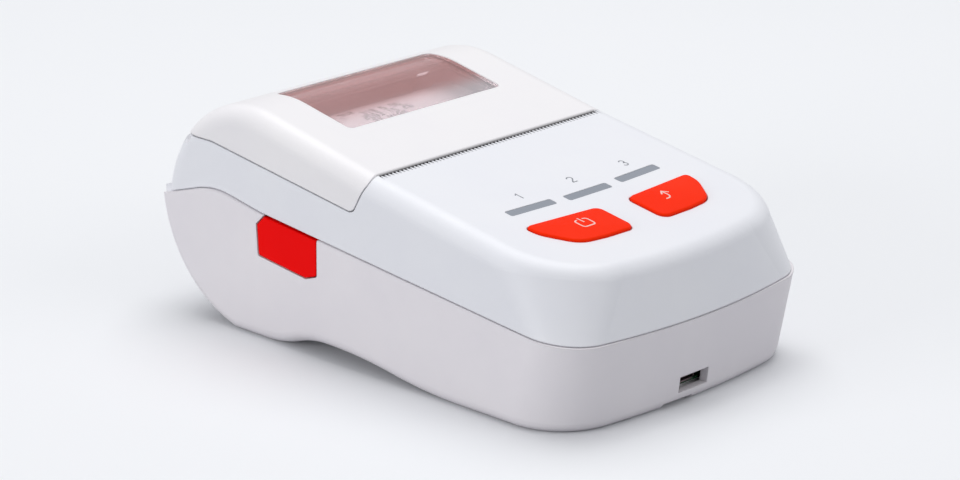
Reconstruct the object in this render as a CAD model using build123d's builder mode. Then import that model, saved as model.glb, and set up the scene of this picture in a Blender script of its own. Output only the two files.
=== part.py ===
from build123d import *
import math
import os

# Portable receipt printer with a drop-in paper roll.
# X is the width, -Y the front with the charging socket, +Y the hinge end, +Z up.
# The origin is on the table, under the middle of the case. Sizes are millimetres.

# Paper
paper_width = 57.5
roll_radius = 18.4
core_outer = 6.3
core_bore = 4.6

# Case
side_space = 9.25          # from the paper's edge to the outside of the case
width = paper_width + 2 * side_space
panel_length = 59.35       # from the paper slot to the front of the case
roll_room = 28.75          # the case behind the slot is this much longer than the roll is thick
wall = 2.0
slot_z = 42.65
panel_slope = 9.8          # degrees, control panel falling to the front
crown_space = 7.0          # from the roll to the outside of the cover's rounded back
crown_rise = 2.8           # centre of that rounded back over the centre of the roll
roll_seat = 1.3            # height of the roll's cradle over the floor of the lower case
heel_radius = 30.1         # rounded back of the lower case
heel_z = 29.33
front_bow = 3.75
front_corner = 11.0
nose_corner_growth = 0.6   # the front corners get rounder over the joint, for each millimetre up
chin_corner_growth = 0.25  # and under it, for each millimetre down
side_draft = 2.5           # degrees, the upper shell leans in
nose_draft = 13.5          # degrees, front of the upper shell
chin_draft = 7.0           # degrees, front of the lower case
lip = 0.9                  # the lower case stands this far behind the upper shell
parting_front_z = 18.8
parting_slope = 6.0        # degrees
edge_top = 4.2
edge_bottom = 2.6
seam = 0.25                # groove between the two shells
rebate_depth = 1.3         # the upper shell's tongue sits in a rebate of the lower one
rebate_inset = 1.1
tongue_inset = 1.2
tongue_gap = 0.2
cover_gap = 0.3
arch_height = 3.2

# Fits
running_gap = 0.3
shaft_fit = 0.05
press_gap = 0.25           # key cap to the panel opening

# Cover, window and hinge
cheek_y_from_slot = 5.2    # lowest corner of the cover's side seam
cheek_z = 34.9
seam_back_rise = 16.4      # from the centre of the rounded back to the back of that seam
slot_opening = 2.0         # from the roots of the teeth to the cover
slot_forward = 0.4         # roots of the teeth in front of the slot line
slot_margin = 4.65         # the slot is this much wider than the paper, each side
tooth_count = 63
tooth_depth = 1.4
lip_round = 1.0            # front edge of the cover, over the slot
lip_lean = 25.0            # degrees, the rounding runs out over the cover at this angle
window_width = 46.2
window_length = 23.2
window_front = 20.2        # from the paper slot to the window
window_corner = 1.4
window_flange = 1.5
hinge_depth = 1.3          # pin centre below the outside of the cover
hinge_bead = 1.25
hinge_pin_radius = 0.6
bead_inset = 6.0           # from the side of the case to the end of the hinge bead
knuckle_inset = 2.0
knuckle_width = 6.0

# Control panel, measured down the slope from the slot
panel_board_depth = 6.5
key_board_inset = 11.5
board_thickness = 1.0
key_back = 33.2
key_front = 44.7
key_inner = 4.5
key_inset = 13.1           # from the side of the case to the far end of a key
key_proud = 0.6
key_travel = 0.25
switch_height = 2.0
plunger_height = 0.75
key_flange = 1.0
lamp_width = 13.0
lamp_height = 2.3
lamp_pitch = 16.4
lamp_from_slot = 27.2
lamp_tilt = 2.5

# Printing mechanism
platen_radius = 5.0
platen_margin = 0.25       # rubber past the paper's edge
platen_drop = 8.15         # platen centre below the slot
platen_back = 6.7          # and behind it, because the platen rises forwards as the cover opens
platen_gap = 0.35          # room for the paper between platen and head
platen_shaft_radius = 1.5
bush_radius = 2.5
ear_gap = 0.7
ear_thick = 1.5
ear_radius = 3.8
plate_gap = 0.4
side_plate_thick = 1.5
gear_module = 0.5
platen_teeth = 16
idler_teeth = 24
pinion_teeth = 12
gear_face = 1.2
gear_gap = 0.2
mesh_clearance = 0.12
motor_radius = 7.5
motor_length = 14.6
motor_drop = 23.65         # motor centre below the slot
motor_y_from_slot = -0.9

# Battery, boards and bosses
door_thick = 1.3
bay_inset = 16.0           # from the side of the case to the battery bay
bay_front = 19.0           # from the front of the case
bay_length = 28.0
battery_height = 13.0
main_board_z = 18.6
main_board_inset = 11.6
boss_radius = 3.2
screw_shank = 1.0
screw_pilot = 1.05
screw_hole = 1.4
screw_head = 2.3
screw_length = 22.0

# Release button and latch
button_front_y = 15.4      # from the slot to the button
button_length = 18.7
button_height = 9.4
button_travel = 1.0
lever_inset = 6.0
lever_pivot_z = 29.0
lever_half = 0.6
lever_pin = 0.8
catch_bite = 1.24          # top of the catch below the outside of the cover, at its front

well_length = 2 * roll_radius + roll_room
length = panel_length + well_length
crown_radius = roll_radius + crown_space
front_y = -length / 2
back_y = length / 2
slot_y = back_y - well_length
crown_y = back_y - lip - crown_radius - 0.1
roll_y = crown_y
roll_z = wall + roll_seat + running_gap + roll_radius
crown_z = roll_z + crown_rise
seam_back_z = crown_z + seam_back_rise
heel_y = back_y - 30.0
far = 2 * length
slot_half = paper_width / 2 + slot_margin
bead_half = width / 2 - bead_inset
knuckle_outer = bead_half - knuckle_inset
knuckle_inner = knuckle_outer - knuckle_width
platen_half = paper_width / 2 + platen_margin
ear_inner = platen_half + ear_gap
side_plate_inner = ear_inner + ear_thick + plate_gap
main_board_half = width / 2 - main_board_inset
bay_half = width / 2 - bay_inset
key_outer = width / 2 - key_inset
key_board_half = width / 2 - key_board_inset
lever_x = lever_inset - width / 2
chin_run = math.tan(math.radians(chin_draft))
nose_run = math.tan(math.radians(nose_draft))
side_run = math.tan(math.radians(side_draft))


def case_plan(level, half_width, front, corner):
    """Plan of the case at one level: straight sides, bowed front, two round front corners."""
    with BuildSketch(Plane.XY.offset(level)) as plan:
        with BuildLine():
            Polyline((-half_width, front + front_bow), (-half_width, far), (half_width, far),
                     (half_width, front + front_bow))
            ThreePointArc((half_width, front + front_bow), (0, front), (-half_width, front + front_bow))
        make_face()
        fillet(plan.vertices().group_by(Axis.Y)[0], corner)
    return plan.sketch


def tangent_from_slot():
    """Where the line from the paper slot touches the crown circle."""
    away = math.hypot(crown_y - slot_y, crown_z - slot_z)
    angle = math.atan2(crown_z - slot_z, crown_y - slot_y) + math.asin(crown_radius / away)
    run = math.sqrt(away ** 2 - crown_radius ** 2)
    return slot_y + run * math.cos(angle), slot_z + run * math.sin(angle)


def cover_height(y):
    """Height of the cover's straight slope."""
    touch = tangent_from_slot()
    return slot_z + (touch[1] - slot_z) * (y - slot_y) / (touch[0] - slot_y)


def upper_side(inset):
    """Side view of everything under the top surface: panel, cover and round back."""
    touch = tangent_from_slot()
    middle = math.radians(45)
    crown = (crown_y + crown_radius * math.cos(middle), crown_z + crown_radius * math.sin(middle))
    front_z = slot_z - math.tan(math.radians(panel_slope)) * (slot_y + far)
    with BuildSketch(Plane.YZ) as side:
        with BuildLine():
            Polyline((-far, front_z), (slot_y, slot_z), touch)
            ThreePointArc(touch, crown, (crown_y + crown_radius, crown_z))
            Polyline((crown_y + crown_radius, crown_z), (crown_y + crown_radius, -far), (-far, -far),
                     (-far, front_z))
        make_face()
        if inset:
            offset(amount=-inset, kind=Kind.INTERSECTION)
    return side.sketch


heel_flat_y = heel_y + math.sqrt(heel_radius ** 2 - heel_z ** 2)
belly_y = heel_flat_y - 10.0        # the flat that the case stands on starts here
arch_y = slot_y + 14.0              # top of the arch under the case
arch_front_y = front_y + 34.0


def lower_side(inset):
    """Side view of everything over the underside: front flat, arch, belly and round heel."""
    top_y = heel_y + heel_radius
    middle = math.radians(40)
    heel = (heel_y + heel_radius * math.cos(middle), heel_z - heel_radius * math.sin(middle))
    with BuildSketch(Plane.YZ) as side:
        with BuildLine():
            flat = Line((-far, 0), (arch_front_y, 0))
            rise = TangentArc(flat @ 1, ((arch_front_y + arch_y) / 2, arch_height / 2), tangent=flat % 1)
            crest = TangentArc(rise @ 1, (arch_y, arch_height), tangent=rise % 1)
            fall = TangentArc(crest @ 1, ((arch_y + belly_y) / 2, arch_height / 2), tangent=crest % 1)
            foot = TangentArc(fall @ 1, (belly_y, 0), tangent=fall % 1)
            Line(foot @ 1, (heel_flat_y, 0))
            ThreePointArc((heel_flat_y, 0), heel, (top_y, heel_z))
            Polyline((top_y, heel_z), (top_y, far), (-far, far), (-far, 0))
        make_face()
        if inset:
            offset(amount=-inset, kind=Kind.INTERSECTION)
    return side.sketch


def upper_block(inset):
    """The upper half of the case as a solid, its faces moved in by inset."""
    levels = (parting_front_z - 8, slot_z + 12)
    rises = [level - parting_front_z for level in levels]
    with BuildPart() as block:
        loft([case_plan(parting_front_z + rise, width / 2 - inset - rise * side_run,
                        front_y + inset + rise * nose_run, front_corner + rise * nose_corner_growth)
              for rise in rises], ruled=True)
        extrude(upper_side(inset), amount=width, both=True, mode=Mode.INTERSECT)
        if not inset:
            rim = block.edges().filter_by(Axis.X, reverse=True)
            fillet(rim.filter_by(lambda edge: edge.bounding_box().min.Z > levels[0] + 1), edge_top)
    return block.part


def lower_block(inset):
    """The lower half of the case as a solid, its faces moved in by inset."""
    levels = (-1, heel_z + 4)
    with BuildPart() as block:
        loft([case_plan(level, width / 2 - inset, front_y + inset + (parting_front_z - level) * chin_run,
                        front_corner + (parting_front_z - level) * chin_corner_growth)
              for level in levels], ruled=True)
        extrude(lower_side(inset), amount=width, both=True, mode=Mode.INTERSECT)
        if not inset:
            rim = block.edges().filter_by(Axis.X, reverse=True)
            fillet(rim.filter_by(lambda edge: edge.bounding_box().max.Z < levels[1] - 1), edge_bottom)
    return block.part


def parting_side(lift):
    """Side view of everything above the joint between the two shells, raised by lift."""
    slope = math.tan(math.radians(parting_slope))
    rise_y = back_y - 32.45
    rise_z = parting_front_z + slope * (rise_y - front_y)
    hump_y = back_y - 17.45
    with BuildSketch(Plane.YZ) as side:
        with BuildLine():
            joint = FilletPolyline((-far, parting_front_z - slope * (far + front_y) + lift),
                                   (rise_y, rise_z + lift),
                                   (hump_y, rise_z + 2.7 + lift),
                                   (hump_y + 40, rise_z + 2.7 - 12.2 + lift), radius=[15, 22])
            Polyline(joint @ 1, (hump_y + 40, far), (-far, far), joint @ 0)
        make_face()
    return side.sketch


def parting_height(y):
    """Height of the straight stretch of the joint."""
    return parting_front_z + math.tan(math.radians(parting_slope)) * (y - front_y)


def cover_side(gap, rounded=False):
    """Side view of the room that the paper cover takes, with a gap around it.

    The cover itself has a rounded front edge over the slot.
    """
    lip_y = slot_y + slot_opening - slot_forward
    with BuildSketch(Plane.YZ) as side:
        with BuildLine():
            under_lip = [(lip_y, slot_z - 1.2), (slot_y + cheek_y_from_slot, cheek_z),
                         (back_y - 16.8, seam_back_z), (far, seam_back_z)]
            if rounded:
                lip_z = cover_height(lip_y) - 0.15
                lean = far * math.tan(math.radians(lip_lean))
                edge = FilletPolyline((lip_y + far, lip_z + lean), (lip_y, lip_z), *under_lip,
                                      radius=[lip_round, 1.6, 1.8, 12])
            else:
                edge = FilletPolyline((lip_y, far), *under_lip, radius=[2.5, 1.8, 12])
            Polyline(edge @ 1, (far, far), edge @ 0)
        make_face()
        if gap:
            offset(amount=gap, kind=Kind.INTERSECTION)
    return side.sketch


def box_between(x, y, z, mode=Mode.ADD):
    """Box between three pairs of limits."""
    with Locations(((x[0] + x[1]) / 2, (y[0] + y[1]) / 2, (z[0] + z[1]) / 2)):
        return Box(x[1] - x[0], y[1] - y[0], z[1] - z[0], mode=mode)


def rod(start, end, radius, mode=Mode.ADD):
    """Round bar between two points."""
    line = Vector(*end) - Vector(*start)
    with Locations(Plane(origin=start, z_dir=line)):
        return Cylinder(radius, line.length, align=(Align.CENTER, Align.CENTER, Align.MIN), mode=mode)


def side_strip(points, thickness, x_from, x_to, radius=0.0):
    """Bent sheet seen from the side, between two places across the width."""
    with BuildPart() as strip:
        with BuildSketch(Plane.YZ.offset(x_from)):
            with BuildLine():
                if radius:
                    FilletPolyline(*points, radius=radius)
                else:
                    Polyline(*points)
            trace(line_width=thickness)
        extrude(amount=x_to - x_from)
    return strip.part


def involute_gear(teeth, phase):
    """Outline of a spur gear, its first tooth at the angle phase, in degrees."""
    pitch = gear_module * teeth / 2
    base = pitch * math.cos(math.radians(20))
    tip = pitch + 0.9 * gear_module
    root = pitch - 1.15 * gear_module
    half_tooth = math.pi / (2 * teeth) - 0.05 / pitch

    def involute(radius):
        roll = math.sqrt(max((radius / base) ** 2 - 1, 0))
        return roll - math.atan(roll)

    start = max(base, root)
    radii = [start + (tip - start) * step / 4 for step in range(5)]
    flank = [(radius, half_tooth + involute(pitch) - involute(radius)) for radius in radii]
    if root < base:
        flank.insert(0, (root, flank[0][1]))
    points = []
    for tooth in range(teeth):
        middle = math.radians(phase) + 2 * math.pi * tooth / teeth
        points += [(radius * math.cos(middle - angle), radius * math.sin(middle - angle))
                   for radius, angle in flank]
        points += [(radius * math.cos(middle + angle), radius * math.sin(middle + angle))
                   for radius, angle in reversed(flank)]
    return points


def key_plan(side, depth, grow):
    """Outline of one key at a depth below the panel; side is -1 for the left key, 1 for the right."""
    with BuildSketch(panel.offset(-depth)) as plan:
        with BuildLine():
            Polyline((side * key_inner, -key_back - 0.9), (side * key_outer, -key_back + 0.5),
                     (side * (key_outer - 0.3), -key_back - 3.4), (side * (key_outer - 5), -key_front + 1.0),
                     (side * (key_outer - 12), -key_front + 0.2), (side * key_inner, -key_front),
                     (side * key_inner, -key_back - 0.9))
        make_face()
        fillet(plan.vertices().filter_by(lambda corner: abs(corner.X) < key_inner + 0.1), 2.0)
        fillet(plan.vertices().filter_by(lambda corner: abs(corner.X) > key_outer - 0.1), 1.2)
        fillet(plan.vertices().filter_by(lambda corner: abs(abs(corner.X) - key_outer + 5) < 0.1), 6.0)
        fillet(plan.vertices().filter_by(lambda corner: abs(abs(corner.X) - key_outer + 0.3) < 0.1), 7.0)
        if grow:
            offset(amount=grow, kind=Kind.ARC)
    return plan.sketch


def button_side(x, grow):
    """Outline of the release button, seen from the side, at one place across the width."""
    start = slot_y + button_front_y
    top = parting_height(start)
    with BuildSketch(Plane.YZ.offset(x)) as side:
        with BuildLine():
            Polyline((start - 1.2, top + 4), (start - 0.1, top - 0.6), (start, top - button_height + 1.1),
                     (start + 3.6, top - button_height - 0.1),
                     (start + button_length - 0.4, top - button_height + 1.7),
                     (start + button_length, top - 0.6), (start + button_length - 2.6, top + 1.9),
                     (start + button_length - 2.6, top + 8), (start - 1.2, top + 8), (start - 1.2, top + 4))
        make_face()
        if grow:
            offset(amount=grow, kind=Kind.INTERSECTION)
        fillet(side.vertices().filter_by(lambda corner: corner.Y < top - 2), 0.7)
    return side.sketch


def under_skin(near, deep, half_width, y_limits):
    """Layer of the case's underside between two depths, cut to a rectangle in plan."""
    with BuildPart() as skin:
        extrude(lower_side(near), amount=half_width, both=True)
        box_between((-width, width), y_limits, (-5, 14), mode=Mode.INTERSECT)
        extrude(lower_side(deep), amount=width, both=True, mode=Mode.SUBTRACT)
    return skin.part


def top_skin(near, deep, half_width, y_limits, corner):
    """Layer of the cover between two depths, cut to a rounded rectangle in plan."""
    middle = (y_limits[0] + y_limits[1]) / 2
    with BuildPart() as skin:
        extrude(upper_side(near), amount=width, both=True)
        extrude(upper_side(deep), amount=far, both=True, mode=Mode.SUBTRACT)
        with BuildSketch(Plane.XY.offset(crown_z)):
            with Locations((0, middle)):
                RectangleRounded(2 * half_width, y_limits[1] - y_limits[0], corner)
        extrude(amount=60, mode=Mode.INTERSECT)
    return skin.part


panel = Plane(origin=(0, slot_y, slot_z), x_dir=(1, 0, 0),
              z_dir=(0, -math.sin(math.radians(panel_slope)), math.cos(math.radians(panel_slope))))
hinge_angle = math.asin((seam_back_z - crown_z) / crown_radius)
hinge_y = crown_y + (crown_radius - hinge_depth) * math.cos(hinge_angle)
hinge_z = crown_z + (crown_radius - hinge_depth) * math.sin(hinge_angle)
# Local Y of this plane runs down the back of the case and local Z points out of it.
hinge = Plane(origin=(0, hinge_y, hinge_z), x_dir=(1, 0, 0),
              z_dir=(0, math.cos(hinge_angle), math.sin(hinge_angle)))
knuckle_middle = (knuckle_inner + knuckle_outer) / 2

platen_y = slot_y + platen_back
platen_z = slot_z - platen_drop
motor_y = slot_y + motor_y_from_slot
motor_z = slot_z - motor_drop
platen_pitch = gear_module * platen_teeth / 2
idler_pitch = gear_module * idler_teeth / 2
pinion_pitch = gear_module * pinion_teeth / 2
# The idler sits where its two centre distances cross, on the roll's side.
reach = math.hypot(platen_y - motor_y, platen_z - motor_z)
to_motor = idler_pitch + pinion_pitch + mesh_clearance
to_platen = idler_pitch + platen_pitch + mesh_clearance
along = (to_motor ** 2 - to_platen ** 2 + reach ** 2) / (2 * reach)
aside = math.sqrt(to_motor ** 2 - along ** 2)
idler_y = motor_y + (along * (platen_y - motor_y) + aside * (platen_z - motor_z)) / reach
idler_z = motor_z + (along * (platen_z - motor_z) - aside * (platen_y - motor_y)) / reach
gear_start = side_plate_inner + side_plate_thick + gear_gap
gear_end = gear_start + gear_face

bay_start = front_y + bay_front
bay_end = bay_start + bay_length
front_boss = (width / 2 - 7.5, front_y + 16.5)
rear_boss = (width / 2 - wall - 0.2 - boss_radius, back_y - 17.5)
boss_spots = [(side * spot[0], spot[1]) for spot in (front_boss, rear_boss) for side in (-1, 1)]
post_spots = [(side * (bay_half + 2.2), spot) for spot in (front_y + 7.5, slot_y - 12.5) for side in (-1, 1)]
chassis_front = slot_y - 8.9
chassis_back = platen_y + 5.9
chassis_spots = [(side * (side_plate_inner - 4.1), spot) for spot in (chassis_front + 2, chassis_back - 2.6)
                 for side in (-1, 1)]
chassis_floor = 8.0
panel_posts = [(side * (key_board_half - 2.7), spot) for spot in (-29.5, -46.4) for side in (-1, 1)]
board_pilot = 0.85
lever_plate_y = (slot_y + 18.7, slot_y + 30.3)
lever_y = (lever_plate_y[0] + 0.9, lever_plate_y[1] - 0.9)
push_z = lever_pivot_z - 9.0
socket_x = -1.1
socket_z = 4.6
notch_x = -5.2


def screw_seat(y):
    """Height of the screw head's seat in the lower case."""
    return 4.0 if y < 0 else 14.0


os.makedirs("parts", exist_ok=True)
upper_outer = upper_block(0)
upper_inner = upper_block(wall)
lower_outer = lower_block(0)
lower_inner = lower_block(wall)

# Battery door, hinged at its back edge and flush with the underside
door_y = (front_y + 7.8, bay_end + 2.2)
door_half = bay_half + 2.0
door_pip = 0.4
with BuildPart() as battery_door:
    add(under_skin(0.1, 0.1 + door_thick, door_half, (door_y[0], door_y[1] - door_thick / 2)))
    pivot = battery_door.faces().sort_by(Axis.Y)[-1].center()
    rod((-door_half, pivot.Y, pivot.Z), (door_half, pivot.Y, pivot.Z), door_thick / 2 - 0.05)
    rod((-door_half - 1.2, pivot.Y, pivot.Z), (door_half + 1.2, pivot.Y, pivot.Z), door_pip)
battery_door.part.label = "battery_door"
export_step(battery_door.part, "parts/battery_door.step")

# Lower case: open tub with the battery bay, the roll's cradle and the bosses
with BuildPart() as fixtures:
    for place in (-20.6, -7.6, 6.4, 19.4):
        with BuildSketch(Plane.YZ.offset(place)):
            with Locations((roll_y, wall + 4)):
                Rectangle(2 * roll_radius - 5, 12)
            with Locations((roll_y, roll_z)):
                Circle(roll_radius + running_gap, mode=Mode.SUBTRACT)
        extrude(amount=1.2)
    for x, y in boss_spots:
        rod((x, y, 0.8), (x, y, 40), boss_radius)
    for x, y in post_spots:
        rod((x, y, 0.8), (x, y, main_board_z), 1.8)
    for x, y in chassis_spots:
        rod((x, y, 0.8), (x, y, chassis_floor), 2.5)
    box_between((-bay_half - 1.2, bay_half + 1.2), (bay_start - 1.2, bay_end + 1.2), (0.8, 12))
    add(lower_outer, mode=Mode.INTERSECT)

with BuildPart() as lever_plates:
    for y in lever_plate_y:
        box_between((lever_x - 1.6, lever_x + 1.8), (y - 0.6, y + 0.6), (-1, lever_pivot_z + 2))
    add(lower_outer, mode=Mode.INTERSECT)
    rod((lever_x, slot_y, lever_pivot_z), (lever_x, back_y, lever_pivot_z), lever_pin + shaft_fit,
        mode=Mode.SUBTRACT)

with BuildPart() as rebate:
    add(lower_block(rebate_inset))
    extrude(parting_side(-rebate_depth), amount=width, both=True, mode=Mode.INTERSECT)

with BuildPart() as lower_case:
    add(lower_outer)
    add(lower_inner, mode=Mode.SUBTRACT)
    add(rebate.part, mode=Mode.SUBTRACT)
    add(under_skin(0.5, wall + 0.8, bay_half + 4.2, (front_y + 6.2, bay_end + 3.6)))
    add(fixtures.part)
    box_between((-bay_half, bay_half), (bay_start, bay_end), (-1, 30), mode=Mode.SUBTRACT)
    # Bed of the battery door, and the finger notch in front of it
    add(under_skin(-1, door_thick + 0.2, door_half + running_gap,
                   (door_y[0] - running_gap, door_y[1] + running_gap)), mode=Mode.SUBTRACT)
    rod((-door_half - 1.5, pivot.Y, pivot.Z), (door_half + 1.5, pivot.Y, pivot.Z), door_pip + shaft_fit,
        mode=Mode.SUBTRACT)
    box_between((notch_x - 4.4, notch_x + 4.4), (front_y - 2, door_y[0]), (-1, 1.3), mode=Mode.SUBTRACT)
    extrude(parting_side(0), amount=width, both=True, mode=Mode.SUBTRACT)
    add(lever_plates.part)
    extrude(button_side(-width / 2 - 1, 0), amount=wall + 2, mode=Mode.SUBTRACT)
    # Screws come up from below; the rear ones sit deeper, so that all four are alike
    for x, y in boss_spots:
        seat = screw_seat(y)
        rod((x, y, -1), (x, y, seat), screw_head + 0.15, mode=Mode.SUBTRACT)
        rod((x, y, -1), (x, y, 60), screw_hole, mode=Mode.SUBTRACT)
    for x, y in post_spots:
        rod((x, y, main_board_z - 6), (x, y, 30), board_pilot, mode=Mode.SUBTRACT)
    for x, y in chassis_spots:
        rod((x, y, wall + 2.2), (x, y, 12), board_pilot, mode=Mode.SUBTRACT)
    # Socket window in the chin
    box_between((socket_x - 4.4, socket_x + 4.4), (front_y - 2, front_y + 7),
                (socket_z - 1.75, socket_z + 1.75), mode=Mode.SUBTRACT)
lower_case.part.label = "lower_case"
export_step(lower_case.part, "parts/lower_case.step")

# Upper case: control panel, paper slot with its teeth, side walls and back wall
with BuildPart() as tongue:
    add(lower_block(tongue_inset))
    add(lower_inner, mode=Mode.SUBTRACT)
    extrude(parting_side(tongue_gap - rebate_depth), amount=width, both=True, mode=Mode.INTERSECT)
    extrude(parting_side(1.8), amount=width, both=True, mode=Mode.SUBTRACT)
    extrude(button_side(-width / 2 - 1, 0.6), amount=wall + 4, mode=Mode.SUBTRACT)

with BuildPart() as upper_case:
    add(upper_outer)
    add(upper_inner, mode=Mode.SUBTRACT)
    for x, y in boss_spots[:2]:
        under_panel = slot_z + (y - slot_y) * math.tan(math.radians(panel_slope)) - wall / 2
        rod((x, y, 10), (x, y, under_panel), boss_radius - 0.5)
    for x, y in boss_spots[2:]:
        rod((x, y, 20), (x, y, seam_back_z - 3.4), boss_radius - 0.6)
        outside = math.copysign(width / 2 - wall - 0.2, x)
        box_between(sorted((x, outside)), (y - 1.5, y + 1.5), (20, seam_back_z - 3.4))
    extrude(parting_side(seam), amount=width, both=True, mode=Mode.INTERSECT)
    add(tongue.part)
    extrude(cover_side(cover_gap), amount=width, both=True, mode=Mode.SUBTRACT)
    # Paper slot and tear-off teeth
    with BuildSketch(panel.offset(2)):
        with Locations((0, slot_opening / 2 - slot_forward)):
            Rectangle(2 * slot_half, slot_opening)
    extrude(amount=-wall - 4, mode=Mode.SUBTRACT)
    pitch = 2 * slot_half / tooth_count
    root = -slot_forward
    saw = [(-slot_half, root - 0.2)]
    for tooth in range(tooth_count):
        saw += [(-slot_half + pitch * tooth, root), (-slot_half + pitch * (tooth + 0.5), root + tooth_depth)]
    with BuildSketch(panel):
        with BuildLine():
            Polyline(*saw, (slot_half, root), (slot_half, root - 0.2), (-slot_half, root - 0.2))
        make_face()
    extrude(amount=-1.0)
    # Keys, status lamps and the posts of the key board
    for side in (-1, 1):
        extrude(key_plan(side, 0, press_gap), amount=-wall - 2, mode=Mode.SUBTRACT)
    with BuildSketch(panel):
        for place in (-1, 0, 1):
            with Locations(Location((place * lamp_pitch, -lamp_from_slot + abs(place) * 0.8, 0),
                                    (0, 0, place * lamp_tilt))):
                RectangleRounded(lamp_width + 0.1, lamp_height + 0.1, 0.6)
    extrude(amount=-wall - 2, mode=Mode.SUBTRACT)
    with BuildSketch(panel.offset(-wall + 0.5)):
        with Locations(*panel_posts):
            Circle(1.9)
    extrude(amount=-panel_board_depth + wall - 0.5)
    with BuildSketch(panel.offset(-wall)):
        with Locations(*panel_posts):
            Circle(board_pilot)
    extrude(amount=-panel_board_depth, mode=Mode.SUBTRACT)
    # Back wall stops below the hinge; two knuckles reach up to the pin
    with BuildSketch(hinge):
        with Locations((0, (hinge_depth + running_gap - 6) / 2)):
            Rectangle(2 * width, hinge_depth + running_gap + 6)
    extrude(amount=6, mode=Mode.SUBTRACT)
    rod((-width, hinge_y, hinge_z), (width, hinge_y, hinge_z), hinge_bead + running_gap, mode=Mode.SUBTRACT)
    for side in (-1, 1):
        rod((side * knuckle_inner, hinge_y, hinge_z), (side * knuckle_outer, hinge_y, hinge_z), hinge_bead)
        with BuildSketch(hinge.offset(-hinge_bead)):
            with Locations((side * knuckle_middle, 1.6)):
                Rectangle(knuckle_width, 3.2)
        extrude(amount=hinge_bead + 0.8)
    rod((-width, hinge_y, hinge_z), (width, hinge_y, hinge_z), hinge_pin_radius, mode=Mode.SUBTRACT)
    for x, y in boss_spots:
        rod((x, y, 12), (x, y, screw_seat(y) + screw_length + 0.5), screw_pilot, mode=Mode.SUBTRACT)
upper_case.part.label = "upper_case"
export_step(upper_case.part, "parts/upper_case.step")

# Paper cover with the window opening, the hinge bead, two bearing ears and the catch
window_y = (slot_y + window_front, slot_y + window_front + window_length)
with BuildPart() as paper_cover:
    add(upper_outer)
    add(upper_inner, mode=Mode.SUBTRACT)
    extrude(cover_side(0, rounded=True), amount=width, both=True, mode=Mode.INTERSECT)
    add(top_skin(-2, wall + 2, window_width / 2, window_y, window_corner), mode=Mode.SUBTRACT)
    for side in (-1, 1):
        with BuildSketch(Plane.YZ.offset(side * (ear_inner + (side < 0) * ear_thick))):
            with Locations((platen_y, platen_z)):
                Circle(ear_radius)
                Rectangle(2 * ear_radius, slot_z - platen_z, align=(Align.CENTER, Align.MIN))
                Circle(bush_radius + shaft_fit, mode=Mode.SUBTRACT)
        extrude(amount=ear_thick)
    catch_x = (lever_x + 1.1, lever_x + 2.5)
    catch_y = (slot_y + 21.5, slot_y + 27.5)
    box_between(catch_x, catch_y, (lever_pivot_z + 4, cover_height(catch_y[0]) - catch_bite))
    rod((-bead_half, hinge_y, hinge_z), (bead_half, hinge_y, hinge_z), hinge_bead)
    for side in (-1, 1):
        with BuildSketch(hinge.offset(-4)):
            with Locations((side * knuckle_middle, 0)):
                Rectangle(knuckle_width + 2 * running_gap, 2 * hinge_bead + 1.4)
        extrude(amount=8, mode=Mode.SUBTRACT)
    rod((-bead_half + 0.6, hinge_y, hinge_z), (bead_half - 0.6, hinge_y, hinge_z),
        hinge_pin_radius + shaft_fit, mode=Mode.SUBTRACT)
paper_cover.part.label = "paper_cover"
export_step(paper_cover.part, "parts/paper_cover.step")

with BuildPart() as cover_window:
    add(top_skin(0.15, wall + 0.5, window_width / 2 - 0.1, (window_y[0] + 0.1, window_y[1] - 0.1),
                 window_corner))
    add(top_skin(wall + 0.1, wall + 0.9, window_width / 2 + window_flange,
                 (window_y[0] - window_flange, window_y[1] + window_flange), window_corner))
cover_window.part.label = "cover_window"
export_step(cover_window.part, "parts/cover_window.step")

with BuildPart() as hinge_pin:
    rod((-bead_half + 0.8, hinge_y, hinge_z), (bead_half - 0.8, hinge_y, hinge_z), hinge_pin_radius)
hinge_pin.part.label = "hinge_pin"
export_step(hinge_pin.part, "parts/hinge_pin.step")

# Keys, lamps and the board under the panel
for name, side in (("power_key", -1), ("feed_key", 1)):
    with BuildPart() as key:
        extrude(key_plan(side, -key_proud, 0), amount=-key_proud - wall - 0.5)
        extrude(key_plan(side, wall + 0.3, key_flange), amount=-0.8)
        with BuildSketch(panel.offset(-wall - 1.0)):
            with Locations((side * (key_inner + key_outer) / 2, -(key_back + key_front) / 2)):
                Circle(1.3)
        stem_end = panel_board_depth - switch_height - plunger_height - key_travel - 0.05
        extrude(amount=wall + 1.0 - stem_end)
    key.part.label = name
    export_step(key.part, "parts/" + name + ".step")

with BuildPart() as lamp_guides:
    with BuildSketch(panel.offset(-0.05)):
        for place in (-1, 0, 1):
            with Locations(Location((place * lamp_pitch, -lamp_from_slot + abs(place) * 0.8, 0),
                                    (0, 0, place * lamp_tilt))):
                RectangleRounded(lamp_width, lamp_height, 0.6)
    extrude(amount=-wall - 0.6)
    with BuildSketch(panel.offset(-wall - 0.4)):
        with Locations((0, -lamp_from_slot + 0.4)):
            Rectangle(2 * lamp_pitch + 6, 1.4)
    extrude(amount=-1.0)
    with BuildSketch(panel.offset(-wall - 1)):
        with Locations(*[(place * lamp_pitch, -lamp_from_slot + 0.4) for place in (-1, 0, 1)]):
            Circle(0.9)
    extrude(amount=-panel_board_depth + wall + 1 + 1.0)
lamp_guides.part.label = "lamp_guides"
export_step(lamp_guides.part, "parts/lamp_guides.step")

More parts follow.
